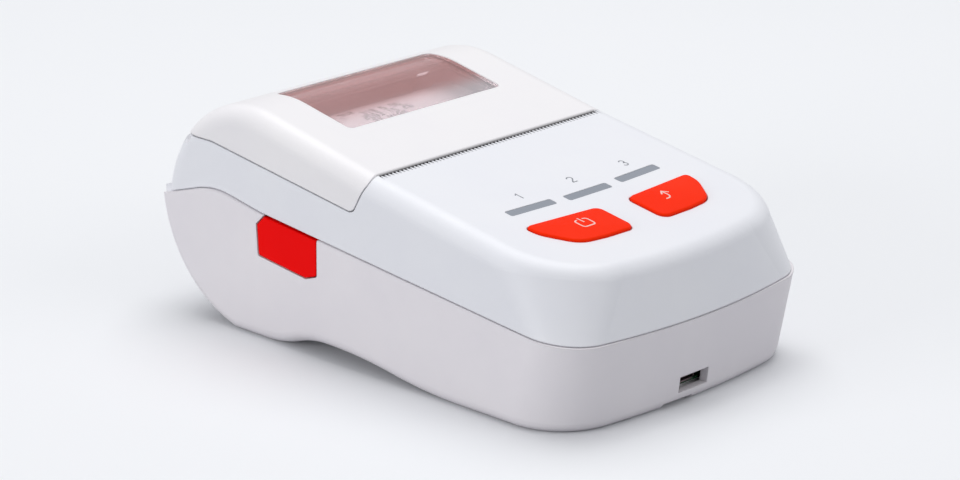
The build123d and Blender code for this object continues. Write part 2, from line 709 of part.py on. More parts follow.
with BuildPart() as key_board:
    with BuildSketch(panel.offset(-panel_board_depth)):
        with Locations((0, -38.0)):
            RectangleRounded(2 * key_board_half, 22.6, 1)
        with Locations(*panel_posts):
            Circle(board_pilot + 0.15, mode=Mode.SUBTRACT)
    extrude(amount=-board_thickness)
key_board.part.label = "key_board"
export_step(key_board.part, "parts/key_board.step")

with BuildPart() as key_switches:
    places = [(side * (key_inner + key_outer) / 2, -(key_back + key_front) / 2) for side in (-1, 1)]
    with BuildSketch(panel.offset(-panel_board_depth)):
        with Locations(*places):
            Rectangle(4.6, 4.6)
    extrude(amount=switch_height)
    with BuildSketch(panel.offset(switch_height - panel_board_depth)):
        with Locations(*places):
            Circle(1.1)
    extrude(amount=plunger_height)
key_switches.part.label = "key_switches"
export_step(key_switches.part, "parts/key_switches.step")

with BuildPart() as status_lamps:
    with BuildSketch(panel.offset(-panel_board_depth)):
        with Locations(*[(place * lamp_pitch, -lamp_from_slot + 0.4) for place in (-1, 0, 1)]):
            Rectangle(1.6, 0.9)
    extrude(amount=0.7)
status_lamps.part.label = "status_lamps"
export_step(status_lamps.part, "parts/status_lamps.step")

# Main board, its components, the radio module and the sounder
with BuildPart() as main_board:
    board_y = (front_y + 5.9, slot_y - 10.6)
    with BuildSketch(Plane.XY.offset(main_board_z)):
        with Locations((0, (board_y[0] + board_y[1]) / 2)):
            RectangleRounded(2 * main_board_half, board_y[1] - board_y[0], 3)
        with Locations(*post_spots):
            Circle(board_pilot + 0.15, mode=Mode.SUBTRACT)
    extrude(amount=board_thickness)
main_board.part.label = "main_board"
export_step(main_board.part, "parts/main_board.step")

board_top = main_board_z + board_thickness
with BuildPart() as board_components:
    for x, y, long_side, short_side, height in ((-9, 0, 10, 10, 1.2), (7, -2, 7, 7, 0.9), (7, 8, 6, 5, 0.9),
                                                (-9, 11, 3.2, 2.5, 0.7), (16, 6, 5, 4, 2.4)):
        middle_y = (board_y[0] + board_y[1]) / 2 + y
        box_between((x - long_side / 2, x + long_side / 2),
                    (middle_y - short_side / 2, middle_y + short_side / 2), (board_top, board_top + height))
    for x in (-15.5, -8.0):
        rod((x, board_y[1] - 5, board_top), (x, board_y[1] - 5, board_top + 7), 3.0)
board_components.part.label = "board_components"
export_step(board_components.part, "parts/board_components.step")

with BuildPart() as radio_module:
    box_between((-8, 10), (board_y[0] + 1, board_y[0] + 10), (board_top, board_top + 0.8))
    box_between((-7, 5), (board_y[0] + 1.5, board_y[0] + 9.5), (board_top + 0.8, board_top + 2.2))
radio_module.part.label = "radio_module"
export_step(radio_module.part, "parts/radio_module.step")

with BuildPart() as sounder:
    rod((18, board_y[0] + 14, board_top), (18, board_y[0] + 14, board_top + 3.5), 4.5)
    rod((18, board_y[0] + 14, board_top + 2.5), (18, board_y[0] + 14, board_top + 4), 1.2, mode=Mode.SUBTRACT)
sounder.part.label = "sounder"
export_step(sounder.part, "parts/sounder.step")

# Charging board and its socket behind the chin
socket_board_z = wall + 0.85
with BuildPart() as charging_board:
    box_between((socket_x - 12, socket_x + 12), (front_y + 5.2, bay_start - 2.2),
                (socket_board_z, socket_board_z + 0.4))
charging_board.part.label = "charging_board"
export_step(charging_board.part, "parts/charging_board.step")

with BuildPart() as charging_socket:
    with BuildSketch(Plane.XZ.offset(-front_y - 4.9)):
        with Locations((socket_x, socket_board_z + 0.4 + 1.3)):
            Rectangle(7.5, 2.6)
    extrude(amount=-5.5)
    chamfer(charging_socket.edges().filter_by(Axis.Y).group_by(Axis.Z)[0], 0.8)
    with BuildSketch(Plane.XZ.offset(-front_y - 4.9)):
        with Locations((socket_x, socket_board_z + 0.4 + 1.3)):
            Rectangle(6.9, 1.9)
            Rectangle(4.6, 0.5, mode=Mode.SUBTRACT)
    extrude(amount=-4.6, mode=Mode.SUBTRACT)
charging_socket.part.label = "charging_socket"
export_step(charging_socket.part, "parts/charging_socket.step")

# Battery and its contacts
battery_y = (bay_start + 1.0, bay_end - running_gap)
with BuildPart() as battery_pack:
    box_between((-bay_half + running_gap, bay_half - running_gap), battery_y,
                (wall + 1.4, wall + 1.4 + battery_height))
    fillet(battery_pack.edges().filter_by(Axis.X), 2.0)
battery_pack.part.label = "battery_pack"
export_step(battery_pack.part, "parts/battery_pack.step")

with BuildPart() as battery_contacts:
    for x in (-5, 0, 5):
        box_between((x - 0.9, x + 0.9), (bay_start, bay_start + 0.3), (5, 11.5))
        rod((x - 0.9, bay_start + 0.25, 7.5), (x + 0.9, bay_start + 0.25, 7.5), 0.6)
    box_between((-width, width), (bay_start, bay_end), (0, 20), mode=Mode.INTERSECT)
battery_contacts.part.label = "battery_contacts"
export_step(battery_contacts.part, "parts/battery_contacts.step")

# Chassis of the printing mechanism
head_y = platen_y - platen_radius - platen_gap
head_back = head_y - 3.5
head_low = platen_z - 7.5
trunnion = (head_back + 1.2, head_low + 1.6)
spring_wall_y = head_back - 4.0
with BuildPart() as chassis:
    for side in (-1, 1):
        inner = side * side_plate_inner if side > 0 else -side_plate_inner - side_plate_thick
        with BuildSketch(Plane.YZ.offset(inner)):
            with BuildLine():
                Polyline((chassis_front, chassis_floor), (chassis_back, chassis_floor),
                         (chassis_back, platen_z + 3), (spring_wall_y - 1.2, platen_z + 3),
                         (chassis_front, platen_z - 12), (chassis_front, chassis_floor))
            make_face()
            with Locations((platen_y - 0.15, platen_z)):
                Circle(bush_radius + 0.5, mode=Mode.SUBTRACT)
                Rectangle(2 * bush_radius + 1.0, 12, align=(Align.CENTER, Align.MIN), mode=Mode.SUBTRACT)
            with Locations(trunnion):
                Circle(1.2 + shaft_fit, mode=Mode.SUBTRACT)
        extrude(amount=side_plate_thick)
    box_between((-side_plate_inner, side_plate_inner), (chassis_front, chassis_back),
                (chassis_floor, chassis_floor + 1.5))
    box_between((-side_plate_inner, side_plate_inner), (spring_wall_y - 1.2, spring_wall_y),
                (head_low, platen_z + 3))
    rod((side_plate_inner, motor_y, motor_z), (width, motor_y, motor_z), 1.6, mode=Mode.SUBTRACT)
    rod((side_plate_inner, idler_y, idler_z), (width, idler_y, idler_z), 1.0, mode=Mode.SUBTRACT)
    for x, y in chassis_spots:
        rod((x, y, chassis_floor), (x, y, chassis_floor + 2), board_pilot + 0.15, mode=Mode.SUBTRACT)
chassis.part.label = "chassis"
export_step(chassis.part, "parts/chassis.step")

with BuildPart() as heat_sink:
    box_between((-platen_half, platen_half), (head_back, head_y - 1.0), (head_low, platen_z + 1.2))
    rod((-side_plate_inner - 1, *trunnion), (side_plate_inner + 1, *trunnion), 1.2)
heat_sink.part.label = "heat_sink"
export_step(heat_sink.part, "parts/heat_sink.step")

with BuildPart() as print_head:
    box_between((-platen_half + 2, platen_half - 2), (head_y - 1.0, head_y), (head_low + 0.8, platen_z + 1.6))
print_head.part.label = "print_head"
export_step(print_head.part, "parts/print_head.step")

with BuildPart() as head_springs:
    for x in (-16.5, 11.5):
        add(side_strip([(spring_wall_y + 0.25, platen_z + 1.5), (spring_wall_y + 0.25, platen_z - 4),
                        (head_back - 0.3, platen_z - 0.5), (head_back - 0.9, platen_z + 1.5)], 0.4, x, x + 5))
head_springs.part.label = "head_springs"
export_step(head_springs.part, "parts/head_springs.step")

with BuildPart() as head_ribbon:
    add(side_strip([(head_back + 1.2, head_low - 0.2), (head_back + 1.2, head_low - 2.5),
                    (chassis_front - 0.5, board_top + 1.6), (board_y[1] - 1.0, board_top + 0.2),
                    (board_y[1] - 4.0, board_top + 0.2)], 0.3, -1.5, 12, radius=1.0))
head_ribbon.part.label = "head_ribbon"
export_step(head_ribbon.part, "parts/head_ribbon.step")

# Platen with its gear, carried by the cover
with BuildPart() as platen_roller:
    rod((-platen_half, platen_y, platen_z), (platen_half, platen_y, platen_z), platen_radius)
    rod((-width, platen_y, platen_z), (width, platen_y, platen_z), platen_shaft_radius, mode=Mode.SUBTRACT)
platen_roller.part.label = "platen_roller"
export_step(platen_roller.part, "parts/platen_roller.step")

with BuildPart() as platen_shaft:
    rod((-side_plate_inner - 2.4, platen_y, platen_z), (gear_end, platen_y, platen_z), platen_shaft_radius)
platen_shaft.part.label = "platen_shaft"
export_step(platen_shaft.part, "parts/platen_shaft.step")

with BuildPart() as platen_bushes:
    for side in (-1, 1):
        rod((side * (ear_inner - 0.3), platen_y, platen_z),
            (side * (side_plate_inner + side_plate_thick), platen_y, platen_z), bush_radius)
    rod((-width, platen_y, platen_z), (width, platen_y, platen_z), platen_shaft_radius + shaft_fit,
        mode=Mode.SUBTRACT)
platen_bushes.part.label = "platen_bushes"
export_step(platen_bushes.part, "parts/platen_bushes.step")

# Gear train on the right of the chassis; each gear has its own first tooth, so that they mesh at rest
to_idler = math.degrees(math.atan2(idler_z - platen_z, idler_y - platen_y))
to_pinion = math.degrees(math.atan2(motor_z - idler_z, motor_y - idler_y))
idler_phase = to_idler + 180 + 180 / idler_teeth
idler_step = 360 / idler_teeth
ahead = (idler_phase - to_pinion + idler_step / 2) % idler_step - idler_step / 2
pinion_phase = to_pinion + 180 - ahead * idler_teeth / pinion_teeth + 180 / pinion_teeth

with BuildPart() as platen_gear:
    with BuildSketch(Plane.YZ.offset(gear_start)):
        with Locations((platen_y, platen_z)):
            Polygon(*involute_gear(platen_teeth, to_idler), align=None)
            Circle(platen_shaft_radius, mode=Mode.SUBTRACT)
    extrude(amount=gear_face)
platen_gear.part.label = "platen_gear"
export_step(platen_gear.part, "parts/platen_gear.step")

with BuildPart() as idler_gear:
    with BuildSketch(Plane.YZ.offset(gear_start)):
        with Locations((idler_y, idler_z)):
            Polygon(*involute_gear(idler_teeth, idler_phase), align=None)
            Circle(1.0 + shaft_fit, mode=Mode.SUBTRACT)
    extrude(amount=gear_face)
idler_gear.part.label = "idler_gear"
export_step(idler_gear.part, "parts/idler_gear.step")

with BuildPart() as idler_axle:
    rod((side_plate_inner, idler_y, idler_z), (gear_end + 0.2, idler_y, idler_z), 1.0)
idler_axle.part.label = "idler_axle"
export_step(idler_axle.part, "parts/idler_axle.step")

with BuildPart() as feed_motor:
    rod((side_plate_inner - motor_length, motor_y, motor_z), (side_plate_inner, motor_y, motor_z),
        motor_radius)
    rod((side_plate_inner - motor_length - 1, motor_y, motor_z), (width, motor_y, motor_z), 0.75 + shaft_fit,
        mode=Mode.SUBTRACT)
feed_motor.part.label = "feed_motor"
export_step(feed_motor.part, "parts/feed_motor.step")

with BuildPart() as motor_pinion:
    with BuildSketch(Plane.YZ.offset(gear_start)):
        with Locations((motor_y, motor_z)):
            Polygon(*involute_gear(pinion_teeth, pinion_phase), align=None)
    extrude(amount=gear_face)
    rod((side_plate_inner - motor_length, motor_y, motor_z), (gear_end, motor_y, motor_z), 0.75)
motor_pinion.part.label = "motor_pinion"
export_step(motor_pinion.part, "parts/motor_pinion.step")

# Paper guide, sensor and cover switch
with BuildPart() as paper_chute:
    roll_front = roll_y - roll_radius
    under_platen = platen_z - platen_radius
    add(side_strip([(platen_y - 1.4, under_platen - 1.3), (roll_front - 6.65, under_platen - 3.3),
                    (roll_front - 1.65, under_platen - 9), (roll_front - 0.45, roll_z - 6),
                    (roll_front + 0.15, 5.6)],
                   1.2, -ear_inner - 0.1, ear_inner + 0.1, radius=2.0))
paper_chute.part.label = "paper_chute"
export_step(paper_chute.part, "parts/paper_chute.step")

with BuildPart() as paper_sensor:
    box_between((-3, 3), (platen_y + 0.5, platen_y + 5), (under_platen - 6.5, under_platen - 3.7))
paper_sensor.part.label = "paper_sensor"
export_step(paper_sensor.part, "parts/paper_sensor.step")

with BuildPart() as cover_switch:
    box_between((-side_plate_inner - side_plate_thick - 1.9, -side_plate_inner - side_plate_thick),
                (platen_y - 3, platen_y + 3), (platen_z - 10.5, platen_z - 4.5))
    rod((-side_plate_inner - side_plate_thick - 1, platen_y, platen_z - 5),
        (-side_plate_inner - side_plate_thick - 1, platen_y, platen_z - 3.9), 0.6)
cover_switch.part.label = "cover_switch"
export_step(cover_switch.part, "parts/cover_switch.step")

# Paper roll on its core
with BuildPart() as paper_roll:
    rod((-paper_width / 2, roll_y, roll_z), (paper_width / 2, roll_y, roll_z), roll_radius)
    rod((-width, roll_y, roll_z), (width, roll_y, roll_z), core_outer, mode=Mode.SUBTRACT)
paper_roll.part.label = "paper_roll"
export_step(paper_roll.part, "parts/paper_roll.step")

with BuildPart() as roll_core:
    rod((-paper_width / 2, roll_y, roll_z), (paper_width / 2, roll_y, roll_z), core_outer)
    rod((-width, roll_y, roll_z), (width, roll_y, roll_z), core_bore, mode=Mode.SUBTRACT)
roll_core.part.label = "roll_core"
export_step(roll_core.part, "parts/roll_core.step")

# Release button, the lever behind it, its pin and its leaf spring
with BuildPart() as release_button:
    extrude(button_side(-width / 2 + 0.1, -running_gap), amount=wall + 0.3)
    extrude(button_side(-width / 2 + wall + running_gap, 1.0), amount=0.8)
    extrude(parting_side(-running_gap), amount=width, both=True, mode=Mode.SUBTRACT)
    box_between((-width / 2 + wall + 0.5, lever_x - lever_half - running_gap), (slot_y + 22, slot_y + 27),
                (push_z - 1.5, push_z + 1.5))
release_button.part.label = "release_button"
export_step(release_button.part, "parts/release_button.step")

with BuildPart() as latch_lever:
    box_between((lever_x - lever_half, lever_x + lever_half), lever_y, (push_z - 1.5, lever_pivot_z + 7.5))
    rod((lever_x, lever_y[0], lever_pivot_z), (lever_x, lever_y[1], lever_pivot_z), 1.5)
    box_between((lever_x, lever_x + 0.8), (lever_y[0] + 1.9, lever_y[1] - 1.9),
                (lever_pivot_z + 6, lever_pivot_z + 7.5))
    rod((lever_x, slot_y, lever_pivot_z), (lever_x, back_y, lever_pivot_z), lever_pin + shaft_fit,
        mode=Mode.SUBTRACT)
latch_lever.part.label = "latch_lever"
export_step(latch_lever.part, "parts/latch_lever.step")

with BuildPart() as latch_pin:
    rod((lever_x, lever_plate_y[0] - 0.9, lever_pivot_z), (lever_x, lever_plate_y[1] + 0.9, lever_pivot_z),
        lever_pin)
latch_pin.part.label = "latch_pin"
export_step(latch_pin.part, "parts/latch_pin.step")

with BuildPart() as latch_spring:
    spring_x = lever_x + lever_half + button_travel + 0.2
    box_between((spring_x, spring_x + 0.3), (lever_plate_y[0] - 0.6, lever_plate_y[1] + 0.6),
                (push_z - 1.5, push_z + 1.5))
latch_spring.part.label = "latch_spring"
export_step(latch_spring.part, "parts/latch_spring.step")

# Screws: four for the case, and small ones for the boards and the chassis
with BuildPart() as case_screws:
    for x, y in boss_spots:
        seat = screw_seat(y)
        rod((x, y, seat - 1.6), (x, y, seat), screw_head)
        rod((x, y, seat), (x, y, seat + screw_length), screw_shank)
        rod((x, y, seat - 2), (x, y, seat - 0.8), 0.7, mode=Mode.SUBTRACT)
case_screws.part.label = "case_screws"
export_step(case_screws.part, "parts/case_screws.step")

with BuildPart() as board_screws:
    for spots, base in ((post_spots, board_top), (chassis_spots, chassis_floor + 1.5)):
        for x, y in spots:
            rod((x, y, base), (x, y, base + 1.1), 1.6)
            rod((x, y, base - 4.5), (x, y, base), board_pilot - shaft_fit)
            rod((x, y, base + 0.5), (x, y, base + 2), 0.5, mode=Mode.SUBTRACT)
    with BuildSketch(panel.offset(-panel_board_depth - board_thickness)):
        with Locations(*panel_posts):
            Circle(1.6)
    extrude(amount=-1.1)
    with BuildSketch(panel.offset(-panel_board_depth - board_thickness)):
        with Locations(*panel_posts):
            Circle(board_pilot - shaft_fit)
    extrude(amount=4.0)
board_screws.part.label = "board_screws"
export_step(board_screws.part, "parts/board_screws.step")
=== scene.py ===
"""Looks of a portable receipt printer: finishes, keys, paper roll and printed marks, with table, lamps and camera.

Sizes in the classes are millimetres, turned into metres where a mesh is written.
"""

import logging
import math
from collections.abc import Callable
from dataclasses import dataclass, field
from enum import Enum

import bpy
import numpy as np
from mathutils import Matrix, Vector

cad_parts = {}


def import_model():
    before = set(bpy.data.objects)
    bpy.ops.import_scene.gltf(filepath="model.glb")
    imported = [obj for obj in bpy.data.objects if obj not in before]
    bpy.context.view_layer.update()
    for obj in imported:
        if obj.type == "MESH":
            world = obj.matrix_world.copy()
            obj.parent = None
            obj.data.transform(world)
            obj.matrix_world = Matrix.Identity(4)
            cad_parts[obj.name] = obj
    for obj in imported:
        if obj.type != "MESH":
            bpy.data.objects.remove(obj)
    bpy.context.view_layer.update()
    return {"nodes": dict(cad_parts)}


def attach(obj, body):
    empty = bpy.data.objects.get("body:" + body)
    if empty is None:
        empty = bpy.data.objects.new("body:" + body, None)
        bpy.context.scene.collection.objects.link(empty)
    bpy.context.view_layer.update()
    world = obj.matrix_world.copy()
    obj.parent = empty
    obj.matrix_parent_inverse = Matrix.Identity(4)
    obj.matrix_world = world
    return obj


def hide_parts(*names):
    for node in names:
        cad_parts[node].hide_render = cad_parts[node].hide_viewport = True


LOG = logging.getLogger("printer")
MM = 0.001
WAVE = math.tau / 20  # width of one wave of the wave texture at a scale of 1
DRIFT_RANGE = (0.35, 0.65)  # the noise values between which the colour drifts
SHEEN_RANGE = (0.3, 0.7)  # the noise values between which the roughness varies
EDGE_RANGE = (0.99, 0.82)  # cosine between rounded and flat normal, from untouched to fully rubbed
INK_HEIGHT = 0.03


# Colours and nodes


def linear(code: str) -> tuple[float, float, float, float]:
    """Turns an sRGB hex colour to linear light.

    Args:
        code: the colour as "#RRGGBB".

    Returns:
        Red, green and blue in linear light, and an alpha of 1.
    """
    values = [int(code[at : at + 2], 16) / 255 for at in (1, 3, 5)]
    red, green, blue = [v / 12.92 if v <= 0.04045 else ((v + 0.055) / 1.055) ** 2.4 for v in values]
    return red, green, blue, 1.0


def add_node(
    tree: bpy.types.NodeTree, kind: str, inputs: dict[str | int, object] | None = None, **settings: object
) -> bpy.types.Node:
    """Adds a node with its settings and links.

    Args:
        tree: the tree that takes the node.
        kind: Blender's name for the node's type.
        inputs: for each input, by name or number, a value or the output that feeds it.
        settings: properties of the node itself.

    Returns:
        The new node.
    """
    node = tree.nodes.new(kind)
    for name, value in settings.items():
        setattr(node, name, value)
    for key, value in (inputs or {}).items():
        if isinstance(value, bpy.types.NodeSocket):
            tree.links.new(value, node.inputs[key])
        else:
            node.inputs[key].default_value = value
    return node


def empty_material(title: str) -> tuple[bpy.types.Material, bpy.types.NodeTree]:
    """Makes a material with no nodes yet.

    Args:
        title: common name of the material.

    Returns:
        The material, named for its title, and its tree.
    """
    made = bpy.data.materials.new(title.replace(" ", "_"))
    made.use_nodes = True
    made.node_tree.nodes.clear()
    return made, made.node_tree


def per_metre(size_mm: float) -> float:
    """Scale of a pattern on Object coordinates whose features are size_mm wide."""
    return 1 / (size_mm * MM)


# Finishes


class Making(Enum):
    """How a surface was made, which decides its fine relief."""

    ERODED = "eroded"  # moulded in a spark-eroded tool: an even, fine grain
    POLISHED = "polished"  # moulded in a polished tool: almost no relief
    FILLED = "filled"  # moulded with short glass fibres: streaks that float to the surface
    DRAWN = "drawn"  # drawn or ground along X: lines along X
    ROLLED = "rolled"  # rolled sheet: faint lines along Y
    TURNED = "turned"  # ground on a lathe about X: rings around X
    CAST = "cast"  # cast or tinned: soft, low waves


STRETCH = {
    Making.ERODED: (1.0, 1.0, 1.0),
    Making.POLISHED: (1.0, 1.0, 1.0),
    Making.FILLED: (0.25, 1.0, 1.0),
    Making.DRAWN: (0.04, 1.0, 1.0),
    Making.ROLLED: (1.0, 0.05, 1.0),
    Making.TURNED: (1.0, 0.05, 0.05),
    Making.CAST: (1.0, 1.0, 1.0),
}


@dataclass(frozen=True)
class Finish:
    """An opaque finish: a base colour that drifts slowly to a second one, fine relief, soft edges and edge wear.

    Attributes:
        title: common name of the material and how its surface was made.
        colour: base colour.
        drift: colour that the slow variation leads to.
        roughness: middle roughness.
        making: how the surface was made.
        grain_mm: width of the relief's features.
        depth_mm: height of the relief.
        edge_mm: radius that the edges are rounded with, in shading.
        drift_mm: size of the slow variation's patches.
        worn: colour of rubbed edges.
        wear: how much of that colour shows on the edges, 0 to 1.
        metallic: 1 for a metal.
        ior: index of refraction.
        spread: how far the roughness varies to each side.
        gloss: specular level. A plastic's own is 0.5; less is not physical, and is matched to the photograph.
        mark_and_shade: colour of the finish's own pattern, where it has one; on the cover, colour of a painted shadow.
    """

    title: str
    colour: str
    drift: str
    roughness: float
    making: Making = Making.ERODED
    grain_mm: float = 0.35
    depth_mm: float = 0.004
    edge_mm: float = 0.2
    drift_mm: float = 22.0
    worn: str = "#FFFFFF"
    wear: float = 0.15
    metallic: float = 0.0
    ior: float = 1.5
    spread: float = 0.04
    gloss: float = 0.5
    mark_and_shade: str = "#FFFFFF"

    def pattern(self, tree: bpy.types.NodeTree, place: bpy.types.NodeSocket) -> bpy.types.NodeSocket | None:
        """Share of the marking's colour at each place; a plain finish has no pattern.

        Args:
            tree: the material's tree.
            place: Object coordinates.

        Returns:
            Share of the mark_and_shade colour at each place, which is a pattern on most finishes and a painted shadow
            on the cover; a plain finish has no pattern.
        """
        return None

    def relief(self, tree: bpy.types.NodeTree, place: bpy.types.NodeSocket) -> bpy.types.NodeSocket:
        """Height of the fine relief: noise stretched along the way that the surface was worked.

        Args:
            tree: the material's tree.
            place: Object coordinates.

        Returns:
            A height from 0 to 1.
        """
        turned = add_node(tree, "ShaderNodeMapping", {"Vector": place, "Scale": STRETCH[self.making]})
        grain = add_node(
            tree,
            "ShaderNodeTexNoise",
            {"Vector": turned.outputs[0], "Scale": per_metre(self.grain_mm), "Detail": 2.0, "Roughness": 0.6},
        )
        return grain.outputs[0]

    def material(self) -> bpy.types.Material:
        """Builds the node material.

        Returns:
            The material, named for the finish.
        """
        made, tree = empty_material(self.title)
        place = add_node(tree, "ShaderNodeTexCoord").outputs["Object"]
        slow = add_node(
            tree, "ShaderNodeTexNoise", {"Vector": place, "Scale": per_metre(self.drift_mm), "Detail": 3.0}
        ).outputs[0]
        drift = add_node(
            tree, "ShaderNodeMapRange", {"Value": slow, "From Min": DRIFT_RANGE[0], "From Max": DRIFT_RANGE[1]}
        )
        base = add_node(
            tree,
            "ShaderNodeMix",
            {0: drift.outputs[0], 6: linear(self.colour), 7: linear(self.drift)},
            data_type="RGBA",
        ).outputs[2]
        share = self.pattern(tree, place)
        if share is not None:
            base = add_node(
                tree, "ShaderNodeMix", {0: share, 6: base, 7: linear(self.mark_and_shade)}, data_type="RGBA"
            ).outputs[2]
        soft = add_node(tree, "ShaderNodeBevel", {"Radius": self.edge_mm * MM}, samples=4).outputs[0]
        flat = add_node(tree, "ShaderNodeNewGeometry").outputs["Normal"]
        across = add_node(tree, "ShaderNodeVectorMath", {0: soft, 1: flat}, operation="DOT_PRODUCT").outputs["Value"]
        rubbed = add_node(
            tree,
            "ShaderNodeMapRange",
            {"Value": across, "From Min": EDGE_RANGE[0], "From Max": EDGE_RANGE[1], "To Max": self.wear},
        ).outputs[0]
        patchy = add_node(tree, "ShaderNodeMath", {0: rubbed, 1: slow}, operation="MULTIPLY").outputs[0]
        colour = add_node(
            tree, "ShaderNodeMix", {0: patchy, 6: base, 7: linear(self.worn)}, data_type="RGBA"
        ).outputs[2]
        height = self.relief(tree, place)
        rough = add_node(
            tree,
            "ShaderNodeMapRange",
            {
                "Value": slow,
                "From Min": SHEEN_RANGE[0],
                "From Max": SHEEN_RANGE[1],
                "To Min": self.roughness - self.spread,
                "To Max": self.roughness + self.spread,
            },
        ).outputs[0]
        normal = add_node(
            tree,
            "ShaderNodeBump",
            {"Strength": 1.0, "Distance": self.depth_mm * MM, "Height": height, "Normal": soft},
        ).outputs[0]
        shader = add_node(
            tree,
            "ShaderNodeBsdfPrincipled",
            {
                "Base Color": colour,
                "Roughness": rough,
                "Metallic": self.metallic,
                "IOR": self.ior,
                "Specular IOR Level": self.gloss,
                "Normal": normal,
            },
        )
        add_node(tree, "ShaderNodeOutputMaterial", {"Surface": shader.outputs[0]})
        return made


@dataclass(frozen=True)
class MouldedCover(Finish):
    """The paper cover's ABS, with the tear-off slot's shadow painted on its lip.

    The shadow is not a finish of the plastic. It is matched to the photograph, because the modelled slot alone
    looks pale between the teeth, and it stays on the lip when the cover opens.

    Attributes:
        half_slot_mm: half the slot's width, where the shadow ends to each side.
        side_mm: how far it fades to each side of that.
        front_mm: where it starts and is full along Y, on the lip's front face.
        down_mm: where it starts and is full along Z.
    """

    half_slot_mm: float = 33.4
    side_mm: float = 0.2
    front_mm: tuple[float, float] = (-0.5, -1.0)
    down_mm: tuple[float, float] = (43.1, 42.3)
    # colour of the painted shadow on the lip
    mark_and_shade: str = "#2A2527"

    def pattern(self, tree: bpy.types.NodeTree, place: bpy.types.NodeSocket) -> bpy.types.NodeSocket:
        """Darkens the lip's front face: the shadow's share is a product of one ramp across, one along and one down.

        Args:
            tree: the material's tree.
            place: Object coordinates.

        Returns:
            The shadow's share.
        """
        parts = add_node(tree, "ShaderNodeSeparateXYZ", {0: place}).outputs
        across = add_node(tree, "ShaderNodeMath", {0: parts[0]}, operation="ABSOLUTE").outputs[0]
        side = (self.half_slot_mm + self.side_mm, self.half_slot_mm - self.side_mm)
        ramps = ((across, side, "LINEAR"), (parts[1], self.front_mm, "LINEAR"), (parts[2], self.down_mm, "SMOOTHSTEP"))
        share: float | bpy.types.NodeSocket = 1.0
        for value, (none, full), way in ramps:
            limits = {"Value": value, "From Min": none * MM, "From Max": full * MM}
            ramp = add_node(tree, "ShaderNodeMapRange", limits, interpolation_type=way).outputs[0]
            share = add_node(tree, "ShaderNodeMath", {0: share, 1: ramp}, operation="MULTIPLY").outputs[0]
        return share


@dataclass(frozen=True)
class WoundPaper(Finish):
    """Thermal paper: calendered white, with the edges of its turns as soft rings on the roll's two ends.

    Attributes:
        centre_y_mm: where the roll's axis lies along Y.
        centre_z_mm: where it lies along Z.
        ring_mm: distance between rings.
        waver: how far the rings leave a circle.
        end_range: how much of a face's normal lies along X, where the rings start and are full.
        strength: the rings' share where they are full.
    """

    centre_y_mm: float = 36.05
    centre_z_mm: float = 22.0
    ring_mm: float = 2.2  # a real turn is 0.06 mm, too fine to show, so one soft ring stands for many turns
    waver: float = 1.5
    end_range: tuple[float, float] = (0.7, 0.9)
    strength: float = 0.35
    mark_and_shade: str = "#A8A39A"

    def pattern(self, tree: bpy.types.NodeTree, place: bpy.types.NodeSocket) -> bpy.types.NodeSocket:
        """Darkens rings by the distance from the roll's axis.

        Args:
            tree: the material's tree.
            place: Object coordinates.

        Returns:
            The rings' share, on faces that look along X.
        """
        centred = add_node(
            tree,
            "ShaderNodeMapping",
            {"Vector": place, "Location": (0.0, -self.centre_y_mm * MM, -self.centre_z_mm * MM)},
        ).outputs[0]
        rings = add_node(
            tree,
            "ShaderNodeTexWave",
            {
                "Vector": centred,
                "Scale": WAVE * per_metre(self.ring_mm),
                "Distortion": self.waver,
                "Detail": 1.0,
            },
            wave_type="RINGS",
            rings_direction="X",
        ).outputs[1]
        facing = add_node(tree, "ShaderNodeNewGeometry").outputs["Normal"]
        along = add_node(tree, "ShaderNodeSeparateXYZ", {0: facing}).outputs[0]
        end_face = add_node(tree, "ShaderNodeMath", {0: along}, operation="ABSOLUTE").outputs[0]
        start, full = self.end_range
        limits = {"Value": end_face, "From Min": start, "From Max": full, "To Max": self.strength}
        end_face = add_node(tree, "ShaderNodeMapRange", limits).outputs[0]
        return add_node(tree, "ShaderNodeMath", {0: end_face, 1: rings}, operation="MULTIPLY").outputs[0]


@dataclass(frozen=True)
class CircuitLaminate(Finish):
    """Glass-epoxy board under green solder mask, with paler green lines that stand for its copper tracks.

    Attributes:
        track_mm: middle distance between lines.
        uneven: how far the cells between them leave an even grid, 0 to 1.
        line: distance from a cell's border, in cells, where a line ends and where it is full.
    """

    track_mm: float = 1.4
    uneven: float = 0.55
    line: tuple[float, float] = (0.13, 0.09)
    mark_and_shade: str = "#2F7A4E"

    def pattern(self, tree: bpy.types.NodeTree, place: bpy.types.NodeSocket) -> bpy.types.NodeSocket:
        """Draws the borders between uneven cells. Real tracks run to their parts; these only suggest them.

        Args:
            tree: the material's tree.
            place: Object coordinates.

        Returns:
            The tracks' share.
        """
        cells = add_node(
            tree,
            "ShaderNodeTexVoronoi",
            {"Vector": place, "Scale": per_metre(self.track_mm), "Randomness": self.uneven},
            feature="DISTANCE_TO_EDGE",
        ).outputs["Distance"]
        limits = {"Value": cells, "From Min": self.line[0], "From Max": self.line[1]}
        return add_node(tree, "ShaderNodeMapRange", limits).outputs[0]


@dataclass(frozen=True)
class PrintedFilm(Finish):
    """Polyimide film over copper conductors that run along Y, which gives amber with dark stripes."""

    pitch_mm: float = 5.65  # a real cable's conductors are 1 mm apart or less
    edge: tuple[float, float] = (0.45, 0.55)
    mark_and_shade: str = "#7A4212"

    def pattern(self, tree: bpy.types.NodeTree, place: bpy.types.NodeSocket) -> bpy.types.NodeSocket:
        """Draws the conductors as bands across X.

        Args:
            tree: the material's tree.
            place: Object coordinates.

        Returns:
            The conductors' share.
        """
        bands = add_node(
            tree,
            "ShaderNodeTexWave",
            {"Vector": place, "Scale": WAVE * per_metre(self.pitch_mm)},
            wave_type="BANDS",
            bands_direction="X",
        ).outputs[1]
        limits = {"Value": bands, "From Min": self.edge[0], "From Max": self.edge[1]}
        return add_node(tree, "ShaderNodeMapRange", limits).outputs[0]


